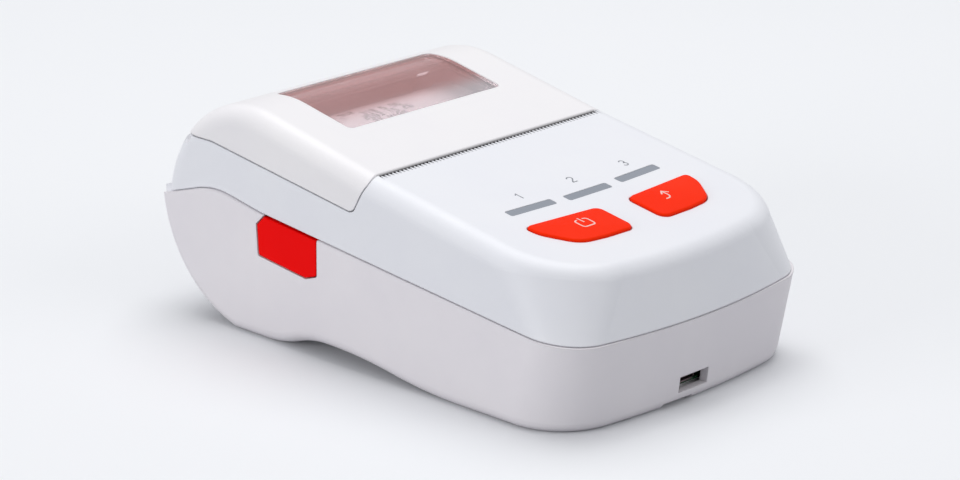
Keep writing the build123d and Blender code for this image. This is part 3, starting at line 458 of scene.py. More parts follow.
@dataclass(frozen=True)
class TintedAcrylic:
    """Cast acrylic pane with a rose tint: clear and glossy, with a faint haze.

    The haze's change from front to back is painted shade, matched to the photograph: it deepens to rose towards the
    back, where the shaded inside shows through. A real pane may be one even tint over a dark inside.

    Attributes:
        title: common name of the material.
        colour: tint of what is seen through the pane.
        passed: tint of the lamps' light that passes it.
        haze_front: colour of the haze at the front edge.
        haze_and_shade_back: colour of the haze at the back edge, deepened to rose by painted shade.
        haze: constant share of the haze.
        front_mm: where the front edge lies along Y.
        back_mm: where the back edge lies along Y.
        ior: index of refraction.
        ripple_mm: width of the pane's waves.
        ripple_depth_mm: their height.
    """

    title: str = "tinted acrylic pane"
    colour: str = "#F3E6E9"
    passed: str = "#FAF5F6"
    haze_front: str = "#F4F0F5"
    haze_and_shade_back: str = "#E2A3A0"
    haze: float = 0.25
    front_mm: float = 19.5
    back_mm: float = 26.5
    ior: float = 1.49
    ripple_mm: float = 14.0
    ripple_depth_mm: float = 0.02

    def material(self) -> bpy.types.Material:
        """Builds glass mixed with haze for every ray but the ones that look for a lamp, which pass with the tint.

        Returns:
            The material.
        """
        made, tree = empty_material(self.title)
        place = add_node(tree, "ShaderNodeTexCoord").outputs["Object"]
        ripple = add_node(
            tree, "ShaderNodeTexNoise", {"Vector": place, "Scale": per_metre(self.ripple_mm), "Detail": 1.0}
        )
        normal = add_node(
            tree,
            "ShaderNodeBump",
            {"Strength": 1.0, "Distance": self.ripple_depth_mm * MM, "Height": ripple.outputs[0]},
        ).outputs[0]
        rough = add_node(
            tree, "ShaderNodeMapRange", {"Value": ripple.outputs[0], "To Min": 0.02, "To Max": 0.07}
        ).outputs[0]
        glass = add_node(
            tree,
            "ShaderNodeBsdfPrincipled",
            {
                "Base Color": linear(self.colour),
                "Roughness": rough,
                "IOR": self.ior,
                "Transmission Weight": 1.0,
                "Normal": normal,
            },
        )
        # painted shade: the haze's colour turns to rose towards the back of the pane
        along = add_node(tree, "ShaderNodeSeparateXYZ", {0: place}).outputs[1]
        back = add_node(
            tree,
            "ShaderNodeMapRange",
            {"Value": along, "From Min": self.front_mm * MM, "From Max": self.back_mm * MM},
            interpolation_type="SMOOTHSTEP",
        ).outputs[0]
        shaded_veil = add_node(
            tree,
            "ShaderNodeMix",
            {0: back, 6: linear(self.haze_front), 7: linear(self.haze_and_shade_back)},
            data_type="RGBA",
        ).outputs[2]
        haze = add_node(
            tree, "ShaderNodeBsdfPrincipled", {"Base Color": shaded_veil, "Roughness": 0.12, "IOR": self.ior, "Normal": normal}
        )
        pane = add_node(tree, "ShaderNodeMixShader", {0: self.haze, 1: glass.outputs[0], 2: haze.outputs[0]})
        clear = add_node(tree, "ShaderNodeBsdfTransparent", {"Color": linear(self.passed)})
        path = add_node(tree, "ShaderNodeLightPath")
        either = add_node(
            tree, "ShaderNodeMixShader", {0: path.outputs["Is Shadow Ray"], 1: pane.outputs[0], 2: clear.outputs[0]}
        )
        add_node(tree, "ShaderNodeOutputMaterial", {"Surface": either.outputs[0]})
        return made


# ABS moulded in a spark-eroded tool: satin white whose fine grain breaks up reflections. The real grain is about
# 0.05 mm, too fine to show, so it is drawn at 0.35 mm.
UPPER_ABS = Finish("white ABS eroded upper", "#EFF0F5", "#ECEDF3", 0.42, edge_mm=0.35)
LOWER_ABS = Finish("white ABS eroded lower", "#F0ECF0", "#ECE8ED", 0.45, edge_mm=0.35)
# The cover's ABS also carries a painted shadow on the tear-off slot's lip.
COVER_ABS_PAINTED_SHADOW = MouldedCover("white ABS eroded cover", "#F4F2F4", "#F1EFF2", 0.40, edge_mm=0.35)
# ABS in signal red, moulded in a polished tool: an even red with almost no highlight, matched to the photograph.
BUTTON_ABS = Finish(
    "red ABS polished", "#FF0000", "#FC0000", 0.34, Making.POLISHED, 0.5, 0.002, 0.35, worn="#FF3020", gloss=0.06
)
# Silicone rubber keys, compression moulded: a soft matt orange red, with its highlight lowered in the same way.
KEY_SILICONE = Finish(
    "orange silicone rubber", "#FF2F00", "#FC2B00", 0.5, Making.ERODED, 0.3, 0.004, 0.12, worn="#FF5A30", gloss=0.06
)
# Frosted polycarbonate light guides, drawn opaque because they are unlit: a cool matt grey.
GUIDE_POLYCARBONATE = Finish(
    "frosted polycarbonate", "#8E949F", "#898F9A", 0.5, Making.ERODED, 0.3, 0.003, 0.15, ior=1.58, wear=0.1
)
# Calendered thermal paper: smooth, bright and matt.
PAPER = WoundPaper("calendered thermal paper", "#F7F6F6", "#F3F2F2", 0.5, Making.ERODED, 0.25, 0.003, 0.05, wear=0.0)
# Spiral-wound grey board tube: fibres and a dull brown grey.
CORE_BOARD = Finish(
    "spiral wound board", "#B9A88C", "#AC9A7E", 0.85, Making.FILLED, 0.5, 0.02, 0.1, worn="#D8CBB4", wear=0.3
)
# Nitrile rubber, ground on its shaft: matt charcoal with faint rings.
PLATEN_RUBBER = Finish(
    "ground nitrile rubber", "#2B2C2E", "#323335", 0.72, Making.TURNED, 0.2, 0.006, 0.15, worn="#4A4B4D", wear=0.2
)
# Drawn and ground steel: neutral, with bright lines along its length.
DRAWN_STEEL = Finish(
    "drawn steel", "#B4B4B6", "#A6A6AA", 0.27, Making.DRAWN, 0.2, 0.003, 0.08, metallic=1.0, wear=0.3
)
# Blued spring strip: darker steel with a trace of straw colour.
SPRING_STEEL = Finish(
    "rolled spring steel", "#8E8C88", "#7F7D79", 0.3, Making.ROLLED, 0.2, 0.003, 0.05, metallic=1.0, wear=0.3
)
# Natural acetal, drawn opaque: milky white, smooth and slightly waxy.
GEAR_ACETAL = Finish(
    "natural acetal", "#E4E2DA", "#DDDAD0", 0.36, Making.POLISHED, 0.4, 0.002, 0.06, drift_mm=6.0, wear=0.1, ior=1.48
)
# Black acetal: smooth and slightly waxy, as the gears are.
BUSH_ACETAL = Finish(
    "black acetal", "#26272A", "#2C2D30", 0.33, Making.POLISHED, 0.4, 0.002, 0.08, worn="#5A5B5E", ior=1.48
)
# Polycarbonate with short glass fibres: black, with grey streaks at the surface.
CHASSIS_PLASTIC = Finish(
    "glass filled polycarbonate", "#2A2C2F", "#3A3C40", 0.55, Making.FILLED, 0.3, 0.01, 0.12, 4.0, "#707378", 0.3,
    ior=1.58,
)
# Black ABS moulded in a spark-eroded tool: an even matt grain with grey rubbed edges.
CHUTE_PLASTIC = Finish(
    "black ABS eroded", "#222326", "#292A2D", 0.5, Making.ERODED, 0.3, 0.006, 0.12, worn="#5A5B5E", wear=0.25
)
# Cold-pressed aluminium: pale, with soft waves and bright edges.
SINK_ALUMINIUM = Finish(
    "pressed aluminium", "#C6C8CA", "#B9BBBE", 0.34, Making.CAST, 0.9, 0.006, 0.12, 8.0, "#E8E9EA", 0.4, 1.0
)
# Glazed alumina: creamy white, glossy.
HEAD_CERAMIC = Finish(
    "glazed alumina", "#C9C2B4", "#BDB5A5", 0.14, Making.POLISHED, 0.8, 0.002, 0.05, drift_mm=5.0, wear=0.1, ior=1.7
)
# Polyimide film: smooth glossy amber.
RIBBON_FILM = PrintedFilm(
    "polyimide film", "#B9701F", "#AD671B", 0.26, Making.POLISHED, 0.5, 0.002, 0.03, wear=0.1, ior=1.7
)
# Solder mask over glass-epoxy: glossy dark green, with the bare laminate's straw colour at the edges.
BOARD = CircuitLaminate(
    "solder masked laminate", "#14532F", "#104A29", 0.3, Making.POLISHED, 0.4, 0.004, 0.05, 9.0, "#C9B98A", 0.6,
    ior=1.55,
)
# Epoxy moulding compound: near black with a fine matt bloom.
COMPONENT_EPOXY = Finish(
    "moulded epoxy", "#1F2022", "#27282B", 0.6, Making.ERODED, 0.2, 0.006, 0.06, 5.0, "#55575A", 0.25, ior=1.55
)
# Tinned steel can: soft bright waves.
SHIELD_TIN = Finish(
    "tinned steel", "#C9CACC", "#BDBEC1", 0.28, Making.CAST, 1.2, 0.006, 0.08, 5.0, "#E4E5E6", 0.4, 1.0
)
# Tinned steel shell of the socket: soft metal, dimmed by painted shade. The real one is neutral; the dim rosy tone is
# painted shade of the opening, matched to the maroon that the photograph shows there.
SOCKET_TIN_PAINTED_SHADE = Finish(
    "tinned steel socket", "#A8969A", "#9A888C", 0.42, Making.CAST, 0.6, 0.004, 0.06, 3.0, "#D8CCCE", 0.4, 1.0
)
# Glass-free nylon, moulded: matt mid grey.
SWITCH_PLASTIC = Finish(
    "grey switch nylon", "#55575C", "#4E5055", 0.5, Making.ERODED, 0.25, 0.004, 0.08, 4.0, ior=1.53
)
# Diffusing epoxy over the lamp chips: pale yellow.
LAMP_EPOXY = Finish(
    "diffusing epoxy", "#E9E2B8", "#E2D9A6", 0.3, Making.POLISHED, 0.3, 0.002, 0.04, 2.0, wear=0.1, ior=1.55
)
# Heat-shrunk vinyl sleeve: blue, glossy, with slight wrinkles.
BATTERY_WRAP = Finish(
    "shrunk vinyl sleeve", "#2E5F8C", "#295780", 0.3, Making.CAST, 3.0, 0.05, 0.4, 9.0, "#5C86AC", 0.3, ior=1.53
)
# Plated brass springs: bright metal with the brass's warm tone.
CONTACT_BRASS = Finish(
    "plated brass", "#CDB57A", "#C0A76A", 0.25, Making.ROLLED, 0.2, 0.002, 0.04, 3.0, "#E5D5A4", 0.3, 1.0
)
# Pad-printed ink: matt, a little uneven.
PANEL_INK = Finish("grey pad printing ink", "#8A8D94", "#94979E", 0.6, Making.ERODED, 0.3, 0.001, 0.01, 2.0, wear=0.0)
KEY_INK = Finish("pale pad printing ink", "#F3C9C2", "#EFC0B8", 0.6, Making.ERODED, 0.3, 0.001, 0.01, 2.0, wear=0.0)
# Dye that heat has developed in the paper: near black, uneven from dot to dot.
THERMAL_DYE = Finish(
    "developed thermal dye", "#1E1A20", "#2E2A30", 0.55, Making.ERODED, 0.2, 0.001, 0.01, 0.8, wear=0.0
)


# Surfaces


def as_object(name: str, points: np.ndarray, faces: list[np.ndarray], smooth: bool) -> bpy.types.Object:
    """Writes arrays into a mesh object at the origin.

    Args:
        name: the piece's name.
        points: vertices in millimetres, one row each.
        faces: arrays of vertex numbers, one row per face.
        smooth: True for smooth shading, with faces that meet at over 40 degrees kept apart.

    Returns:
        The object, linked to the scene.
    """
    mesh = bpy.data.meshes.new(name)
    mesh.from_pydata((points * MM).tolist(), [], [row for group in faces for row in group.tolist()])
    mesh.validate()
    if smooth:
        mesh.shade_smooth()
        mesh.set_sharp_from_angle(angle=math.radians(40))
    thing = bpy.data.objects.new(name, mesh)
    bpy.context.scene.collection.objects.link(thing)
    return thing


def ring_faces(rows: int, columns: int, first: int = 0, close_rows: bool = False) -> np.ndarray:
    """Quads between neighbouring rings of a grid whose columns close on themselves.

    Args:
        rows: number of rings.
        columns: points in a ring.
        first: number of the grid's first vertex.
        close_rows: True where the last ring joins the first.

    Returns:
        Vertex numbers, four to a row.
    """
    row = np.arange(rows if close_rows else rows - 1)[:, None]
    column = np.arange(columns)[None, :]
    after, beside = (row + 1) % rows, (column + 1) % columns
    quads = np.stack(
        np.broadcast_arrays(
            row * columns + column, row * columns + beside, after * columns + beside, after * columns + column
        ),
        axis=-1,
    )
    return quads.reshape(-1, 4) + first


def fan_faces(ring: np.ndarray, pole: int, flip: bool) -> np.ndarray:
    """Triangles that close a ring to one point.

    Args:
        ring: vertex numbers of the ring, in order.
        pole: vertex number of the point.
        flip: True to turn the triangles over.

    Returns:
        Vertex numbers, three to a row.
    """
    beside = np.roll(ring, -1)
    fans = np.stack([ring, beside, np.full_like(ring, pole)], axis=-1)
    return fans[:, ::-1] if flip else fans


def rounded_outline(corners: np.ndarray, radii: np.ndarray, steps: int, count: int) -> np.ndarray:
    """Closed outline with round corners, as evenly spaced points.

    Each corner becomes an arc about the point that lies a radius from both its sides, and the whole loop is then
    divided by its length.

    Args:
        corners: corner points, anticlockwise.
        radii: one radius for each corner.
        steps: points along each arc before the loop is divided.
        count: points in the result.

    Returns:
        An array of count points.
    """
    before = np.roll(corners, 1, axis=0) - corners
    after = np.roll(corners, -1, axis=0) - corners
    before /= np.linalg.norm(before, axis=1, keepdims=True)
    after /= np.linalg.norm(after, axis=1, keepdims=True)
    half = np.arccos(np.clip((before * after).sum(axis=1), -1, 1)) / 2
    inward = (before + after) / np.linalg.norm(before + after, axis=1, keepdims=True)
    centre = corners + inward * (radii / np.sin(half))[:, None]
    reach = (radii / np.tan(half))[:, None]
    start, end = corners + before * reach - centre, corners + after * reach - centre
    turn, share = (math.pi - 2 * half)[:, None], np.linspace(0, 1, steps)[None, :]
    from_start, from_end = np.sin((1 - share) * turn) / np.sin(turn), np.sin(share * turn) / np.sin(turn)
    arcs = centre[:, None] + from_start[..., None] * start[:, None] + from_end[..., None] * end[:, None]
    loop = arcs.reshape(-1, 2)
    loop = np.vstack([loop, loop[:1]])
    run = np.concatenate([[0.0], np.cumsum(np.linalg.norm(np.diff(loop, axis=0), axis=1))])
    at = np.linspace(0, run[-1], count, endpoint=False)
    return np.stack([np.interp(at, run, loop[:, axis]) for axis in (0, 1)], axis=-1)


def inset(loop: np.ndarray, depth: float) -> np.ndarray:
    """Moves each point of an anticlockwise loop inwards, square to the line between its neighbours.

    Args:
        loop: the loop's points.
        depth: how far, or less than 0 for outwards.

    Returns:
        The moved points.
    """
    along = np.roll(loop, -1, axis=0) - np.roll(loop, 1, axis=0)
    along /= np.linalg.norm(along, axis=1, keepdims=True)
    return loop + depth * np.stack([-along[:, 1], along[:, 0]], axis=-1)


def arc(
    centre: tuple[float, float], radius: tuple[float, float], start: float, end: float, steps: int = 14
) -> np.ndarray:
    """Points on an ellipse's arc.

    Args:
        centre: middle of the ellipse.
        radius: half width and half height.
        start: first angle in degrees.
        end: last angle in degrees.
        steps: number of points.

    Returns:
        An array of points.
    """
    turn = np.radians(np.linspace(start, end, steps))
    return np.stack([centre[0] + radius[0] * np.cos(turn), centre[1] + radius[1] * np.sin(turn)], axis=-1)


def stroke_sides(path: np.ndarray, width: float) -> tuple[np.ndarray, np.ndarray]:
    """Left and right edges of a pen stroke: each point moves along the mitre of the two runs that meet there.

    Args:
        path: points of the stroke's middle line.
        width: width of the stroke.

    Returns:
        The left edge and the right edge.
    """
    runs = np.diff(path, axis=0)
    runs /= np.linalg.norm(runs, axis=1, keepdims=True)
    first, last = np.vstack([runs[:1], runs]), np.vstack([runs, runs[-1:]])
    mitre = first + last
    size = np.linalg.norm(mitre, axis=1, keepdims=True)
    mitre = np.where(size > 0.2, mitre / np.maximum(size, 0.2), last)
    square = np.stack([-mitre[:, 1], mitre[:, 0]], axis=-1)
    cosine = np.clip((mitre * last).sum(axis=1, keepdims=True), 0.45, 1.0)
    return path + square * width / 2 / cosine, path - square * width / 2 / cosine


DIGITS: dict[str, list[tuple[float, float]]] = {
    "0": [(0, 0), (1, 0), (1, 2), (0, 2), (0, 0.05)],
    "1": [(0.15, 1.6), (0.55, 2), (0.55, 0)],
    "2": [(0, 2), (1, 2), (1, 1), (0, 1), (0, 0), (1, 0)],
    "3": [(0, 2), (1, 2), (1, 0), (0, 0)],
    "4": [(0, 2), (0, 1), (1, 1), (1, 2)],
    "5": [(1, 2), (0, 2), (0, 1), (1, 1), (1, 0), (0, 0)],
    "6": [(1, 2), (0, 2), (0, 0), (1, 0), (1, 1), (0, 1)],
    "7": [(0, 2), (1, 2), (0.4, 0)],
    "8": [(0, 0), (1, 0), (1, 2), (0, 2), (0, 0.05)],
    "9": [(1, 1), (0, 1), (0, 2), (1, 2), (1, 0), (0, 0)],
}
CROSSBARS: dict[str, list[tuple[float, float]]] = {
    "3": [(0.3, 1), (1, 1)],
    "4": [(1, 1.1), (1, 0)],
    "8": [(0, 1), (1, 1)],
}
DIGIT_PITCH = 1.7  # from digit to digit, in half heights


def printed_number(digits: str, height: float) -> list[np.ndarray]:
    """Pen paths of a row of plain digits, from the left end of its base line.

    Args:
        digits: the digits; a blank leaves a space.
        height: height of a digit.

    Returns:
        One path for each stroke.
    """
    half, paths = height / 2, []
    for place, digit in enumerate(digits):
        for strokes in (DIGITS, CROSSBARS):
            if digit in strokes:
                paths.append(np.array(strokes[digit], float) * half + (place * DIGIT_PITCH * half, 0.0))
    return paths


# Sub-assemblies


@dataclass(frozen=True)
class Panel:
    """The sloping control panel as a plane: x across, s up the slope from the paper slot, h above it."""

    slot_y: float = -3.1
    slot_z: float = 42.65
    slope: float = math.radians(9.8)

    def lift(self, flat: np.ndarray, height: np.ndarray | float) -> np.ndarray:
        """Places points of the panel in space: the slot's line, plus s along the slope, plus h along its normal.

        Args:
            flat: x and s, one row each.
            height: h for each point, or one for all.

        Returns:
            Points in space.
        """
        s, h = flat[..., 1], np.broadcast_to(height, flat.shape[:-1])
        return np.stack(
            [
                flat[..., 0],
                self.slot_y + s * math.cos(self.slope) - h * math.sin(self.slope),
                self.slot_z + s * math.sin(self.slope) + h * math.cos(self.slope),
            ],
            axis=-1,
        )


def print_on(
    panel: Panel, name: str, paths: list[np.ndarray], pen: float, height: Callable[[np.ndarray], np.ndarray | float]
) -> bpy.types.Object:
    """Prints pen paths on the panel or on a key.

    Args:
        panel: the panel.
        name: the piece's name.
        paths: the strokes' middle lines, in panel coordinates.
        pen: width of the strokes.
        height: gives the height over the panel at which points of a stroke's edge lie.

    Returns:
        The printed piece.
    """
    origin = np.array([0.0, 0.0])
    up = panel.lift(origin, INK_HEIGHT) - panel.lift(origin, 0.0)
    strokes = [tuple(panel.lift(edge, height(edge)) for edge in stroke_sides(path, pen)) for path in paths]
    return ink(name, strokes, [np.broadcast_to(up, (len(path), 3)) for path in paths])


def ink(name: str, strokes: list[tuple[np.ndarray, np.ndarray]], thickness: np.ndarray) -> bpy.types.Object:
    """A print as thin bars: each stroke's two edges, laid on the surface and again a little above it.

    Args:
        name: the piece's name.
        strokes: left and right edges of each stroke, in space, on the surface.
        thickness: for each stroke's points, the step from the lower to the upper side.

    Returns:
        The printed piece.
    """
    points, faces, first = [], [], 0
    for (left, right), step in zip(strokes, thickness):
        section = np.stack([left, right, right + step, left + step], axis=1)
        count = len(left)
        points.append(section.reshape(-1, 3))
        faces.append(ring_faces(count, 4, first)[:, ::-1])
        ends = np.array([[0, 1, 2, 3], [4 * count - 1, 4 * count - 2, 4 * count - 3, 4 * count - 4]]) + first
        faces.append(ends)
        first += 4 * count
    return as_object(name, np.vstack(points), faces, False)


@dataclass
class Key:
    """One silicone key of the panel: a crowned cap with a rounded rim, a flange under the panel and a stem."""

    name: str
    body: str
    side: int
    panel: Panel = field(default_factory=Panel)
    proud: float = 0.6
    rim: float = 0.45
    crown: float = 0.3
    flange: float = 1.0
    flange_top: float = -2.3
    flange_under: float = -3.1
    stem_end: float = -3.45
    stem_radius: float = 1.3
    count: int = 192
    pen: float = 0.36
    sunk: float = 0.012

    def outline(self) -> np.ndarray:
        """The key's outline on the panel: six corners with their own radii, mirrored for the left key.

        Returns:
            Evenly spaced points, anticlockwise.
        """
        corners = np.array(
            [(4.5, -34.1), (4.5, -44.7), (12.9, -44.5), (19.9, -43.7), (24.6, -36.6), (24.9, -32.7)], float
        )
        radii = np.array([2.0, 2.0, 6.0, 6.0, 7.0, 1.2])
        if self.side < 0:
            corners, radii = corners[::-1] * (-1, 1), radii[::-1]
        return rounded_outline(corners, radii, 12, self.count)

    def middle(self) -> np.ndarray:
        """Point of the panel over the key's switch."""
        return np.array([self.side * 14.7, -38.95])

    def height(self, flat: np.ndarray) -> np.ndarray:
        """Height of the cap's top: the crown falls with the square of the way from the middle to the rim.

        Args:
            flat: x and s of points on the cap.

        Returns:
            The height at each point.
        """
        loop, middle = inset(self.outline(), self.rim), self.middle()
        away, edge = flat - middle, loop - middle
        edge_angle = np.arctan2(edge[:, 1], edge[:, 0])
        order = np.argsort(edge_angle)
        reach = np.interp(
            np.arctan2(away[..., 1], away[..., 0]),
            edge_angle[order],
            np.linalg.norm(edge, axis=1)[order],
            period=2 * math.pi,
        )
        share = np.minimum(np.linalg.norm(away, axis=-1) / reach, 1.0)
        return self.proud + self.crown * (1 - share**2)

    def build(self) -> bpy.types.Object:
        """Builds the key from rings around its middle: stem, underside, flange, wall, rounded rim and crown.

        Returns:
            The key's closed surface.
        """
        loop, middle = self.outline(), self.middle()
        away = loop - middle
        stem = middle + away / np.linalg.norm(away, axis=1, keepdims=True) * self.stem_radius
        turn = np.linspace(0, math.pi / 2, 6)
        rings = [(stem, self.stem_end), (stem, self.flange_under), (inset(loop, -self.flange), self.flange_under)]
        rings += [(inset(loop, -self.flange), self.flange_top), (loop, self.flange_top)]
        rings += [
            (inset(loop, self.rim * (1 - math.cos(a))), self.proud - self.rim * (1 - math.sin(a))) for a in turn
        ]
        top = inset(loop, self.rim)
        shares = np.linspace(1, 0, 9)[1:-1]
        rings += [(middle + (top - middle) * share, self.proud + self.crown * (1 - share**2)) for share in shares]
        points = [self.panel.lift(flat, height) for flat, height in rings]
        poles = self.panel.lift(np.stack([middle, middle]), np.array([self.stem_end, self.proud + self.crown]))
        total = len(rings) * self.count
        faces = [
            ring_faces(len(rings), self.count),
            fan_faces(np.arange(self.count), total, True),
            fan_faces(np.arange(total - self.count, total), total + 1, False),
        ]
        return as_object(self.name, np.vstack([*points, poles]), faces, True)

    def sign(self) -> list[np.ndarray]:
        """Pen paths of the key's sign: a standby sign on the left key and a turned arrow on the right one.

        Returns:
            One path for each stroke, in panel coordinates.
        """
        if self.side < 0:
            at = np.array([-13.2, -38.4])
            corner = 0.75
            right, above, below = 1.75 - corner, 1.5 - corner, -1.6 + corner
            turns = ((-right, above, 90), (-right, below, 180), (right, below, 270), (right, above, 0))
            arcs = [arc((x, s), (corner, corner), start, start + 90, 6) for x, s, start in turns]
            ring = np.vstack([[(-0.75, 1.5)], *arcs, [(0.75, 1.5)]])
            return [ring + at, np.array([(0.0, 2.2), (0.0, 0.1)]) + at]
        at = np.array([12.2, -38.4])
        hook = np.vstack([[(0.35, 1.9)], arc((-0.85, 0.0), (1.2, 1.2), 0, -90, 9), [(-1.5, -1.2)]])
        head = np.array([(-0.75, 0.75), (0.35, 1.95), (1.45, 0.75)])
        return [hook + at, head + at]

    def print_sign(self) -> bpy.types.Object:
        """Prints the sign on the crown.

        Returns:
            The printed piece.
        """
        name = self.name + "_sign"
        return print_on(self.panel, name, self.sign(), self.pen, lambda edge: self.height(edge) - self.sunk)

    def dress(self) -> list[bpy.types.Object]:
        """Builds the key and its sign, gives them their finishes and puts them on their body.

        Returns:
            The two pieces.
        """
        cap, sign = self.build(), self.print_sign()
        cap.data.materials.append(finish_of(KEY_SILICONE))
        sign.data.materials.append(finish_of(KEY_INK))
        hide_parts(self.name)
        for piece in (cap, sign):
            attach(piece, self.body)
        return [cap, sign]


@dataclass
class PanelMarks:
    """Plain numbers that tell the three lamps apart."""

    panel: Panel = field(default_factory=Panel)
    height: float = 2.3
    pen: float = 0.3
    sunk: float = 0.01
    line: float = -22.4
    places: tuple[float, ...] = (-15.2, 0.6, 17.0)

    def numeral(self, digit: int) -> list[np.ndarray]:
        """Pen paths of a numeral one unit high, drawn with arcs.

        Args:
            digit: 1, 2 or 3.

        Returns:
            One path for each stroke.
        """
        if digit == 1:
            return [np.array([(0.06, 0.78), (0.32, 1.0), (0.32, 0.0)])]
        if digit == 2:
            bow = arc((0.3, 0.73), (0.29, 0.27), 170, -35)
            return [np.vstack([bow, [(0.02, 0.02)]]), np.array([(0.0, 0.0), (0.62, 0.0)])]
        return [
            arc((0.28, 0.76), (0.26, 0.24), 160, -90),
            arc((0.28, 0.26), (0.3, 0.26), 90, -160),
        ]

    def dress(self) -> bpy.types.Object:
        """Prints the numbers on the panel.

        Returns:
            The printed piece.
        """
        paths = [
            path * self.height + (place, self.line)
            for number, place in enumerate(self.places, start=1)
            for path in self.numeral(number)
        ]
        print_piece = print_on(self.panel, "panel_numbers", paths, self.pen, lambda edge: -self.sunk)
        print_piece.data.materials.append(finish_of(PANEL_INK))
        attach(print_piece, "case")
        return print_piece


@dataclass
class PaperRoll:
    """The paper roll: its outer turn steps down at the free edge, and its ends are slightly uneven.

    Attributes:
        centre: y and z of the roll's axis.
        radius: outer radius.
        bore: radius of the core's seat.
        half_width: half the paper's width.
        turn: step at the free edge, coarser than one turn so that it shows.
        around: points around the roll.
        rows: for each printed row, its angle in degrees from the back, where it starts along X, and its digits.
        free_edge: angle of the step.
        digit: height of a digit.
        pen: width of its strokes.
        sunk: how far the print starts under the surface.
        layer: its thickness, more than real so that a straight stroke clears the curve.
    """

    centre: tuple[float, float] = (36.05, 22.0)
    radius: float = 18.4
    bore: float = 6.3
    half_width: float = 28.75
    turn: float = 0.14
    around: int = 360
    rows: tuple[tuple[float, float, str], ...] = (
        (109.0, -20.5, "1036 8      27 4180"),
        (101.5, -21.5, "4021 77     2063 15 26"),
        (94.0, -21.5, "7740 26  1   318 5 90"),
        (86.5, -21.5, "38 16     902"),
    )
    free_edge: float = math.radians(128)
    digit: float = 1.75
    pen: float = 0.28
    sunk: float = 0.01
    layer: float = 0.06

    def surface(self, angle: np.ndarray) -> np.ndarray:
        """Outer radius: it falls by one turn of paper over a full round and steps back at the free edge."""
        return self.radius - self.turn * (((angle - self.free_edge) / (2 * math.pi)) % 1.0)

    def build(self) -> bpy.types.Object:
        """Builds the roll as a section carried around X: bore, one end, the outside, the other end.

        Returns:
            The roll's closed surface.
        """
        angle = np.linspace(0, 2 * math.pi, self.around, endpoint=False)
        share = np.linspace(0, 1, 34)
        wobble = 0.05 * (1 + np.sin(share * 61.0)) + 0.06 * (1 + np.sin(share * 17.0 + 1.0))
        radius = self.bore + (self.radius - self.bore) * share
        end = np.stack([-self.half_width + wobble, radius], axis=-1)
        other = np.stack([self.half_width - wobble[::-1], radius[::-1]], axis=-1)
        middle = np.linspace(-self.half_width + 0.4, self.half_width - 0.4, 12)
        outside = np.stack([middle, np.full(12, self.radius)], axis=-1)
        section = np.vstack([end, outside, other])
        outer = self.surface(angle)
        keep = np.clip((section[:, 1] - self.bore) / (self.radius - self.bore), 0, 1)
        reach = section[:, 1][:, None] + keep[:, None] * (outer - self.radius)[None, :]
        points = np.stack(
            [
                np.broadcast_to(section[:, 0][:, None], reach.shape),
                self.centre[0] + reach * np.cos(angle)[None, :],
                self.centre[1] + reach * np.sin(angle)[None, :],
            ],
            axis=-1,
        )
        faces = [ring_faces(len(section), self.around, 0, True)]
        return as_object("wound_paper", points.reshape(-1, 3), faces, True)

    def print_rows(self) -> bpy.types.Object:
        """Prints rows of digits along X on the outer turn, each at its own angle.

        Returns:
            The printed piece.
        """
        strokes, steps = [], []
        for degrees, start, digits in self.rows:
            for path in printed_number(digits, self.digit):
                edges = []
                for edge in stroke_sides(path, self.pen):
                    angle = math.radians(degrees) - edge[:, 1] / self.radius
                    reach = self.surface(angle) - self.sunk
                    edges.append(
                        np.stack(
                            [
                                start + edge[:, 0],
                                self.centre[0] + reach * np.cos(angle),
                                self.centre[1] + reach * np.sin(angle),
                            ],
                            axis=-1,
                        )
                    )
                angle = math.radians(degrees) - path[:, 1] / self.radius
                strokes.append(tuple(edges))
                steps.append(self.layer * np.stack([np.zeros(len(path)), np.cos(angle), np.sin(angle)], axis=-1))
        return ink("paper_print", strokes, steps)

    def dress(self) -> list[bpy.types.Object]:
        """Builds the roll and its print and puts them on the roll's body.

        Returns:
            The two pieces.
        """
        roll, rows = self.build(), self.print_rows()
        roll.data.materials.append(finish_of(PAPER))
        rows.data.materials.append(finish_of(THERMAL_DYE))
        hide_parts("paper_roll")
        for piece in (roll, rows):
            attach(piece, "roll")
        return [roll, rows]


_FINISHES: dict[str, bpy.types.Material] = {}


def finish_of(finish: Finish | TintedAcrylic) -> bpy.types.Material:
    """The material of a finish, made once."""
    if finish.title not in _FINISHES:
        _FINISHES[finish.title] = finish.material()
    return _FINISHES[finish.title]


@dataclass
class Group:
    """CAD pieces that keep their shape and take a finish.

    Attributes:
        title: what the group is.
        finishes: the finish of each piece, by its node's name.
    """

    title: str
    finishes: dict[str, Finish | TintedAcrylic]

    def dress(self, nodes: dict[str, bpy.types.Object]) -> None:
        """Puts each finish into its node's material slots.

        Args:
            nodes: the frame's CAD nodes.
        """
        for name, finish in self.finishes.items():
            piece = nodes[name]
            if not piece.material_slots:
                piece.data.materials.append(None)
            for slot in piece.material_slots:
                slot.material = finish_of(finish)
            LOG.info("%s: %s in %s", self.title, name, finish.title)


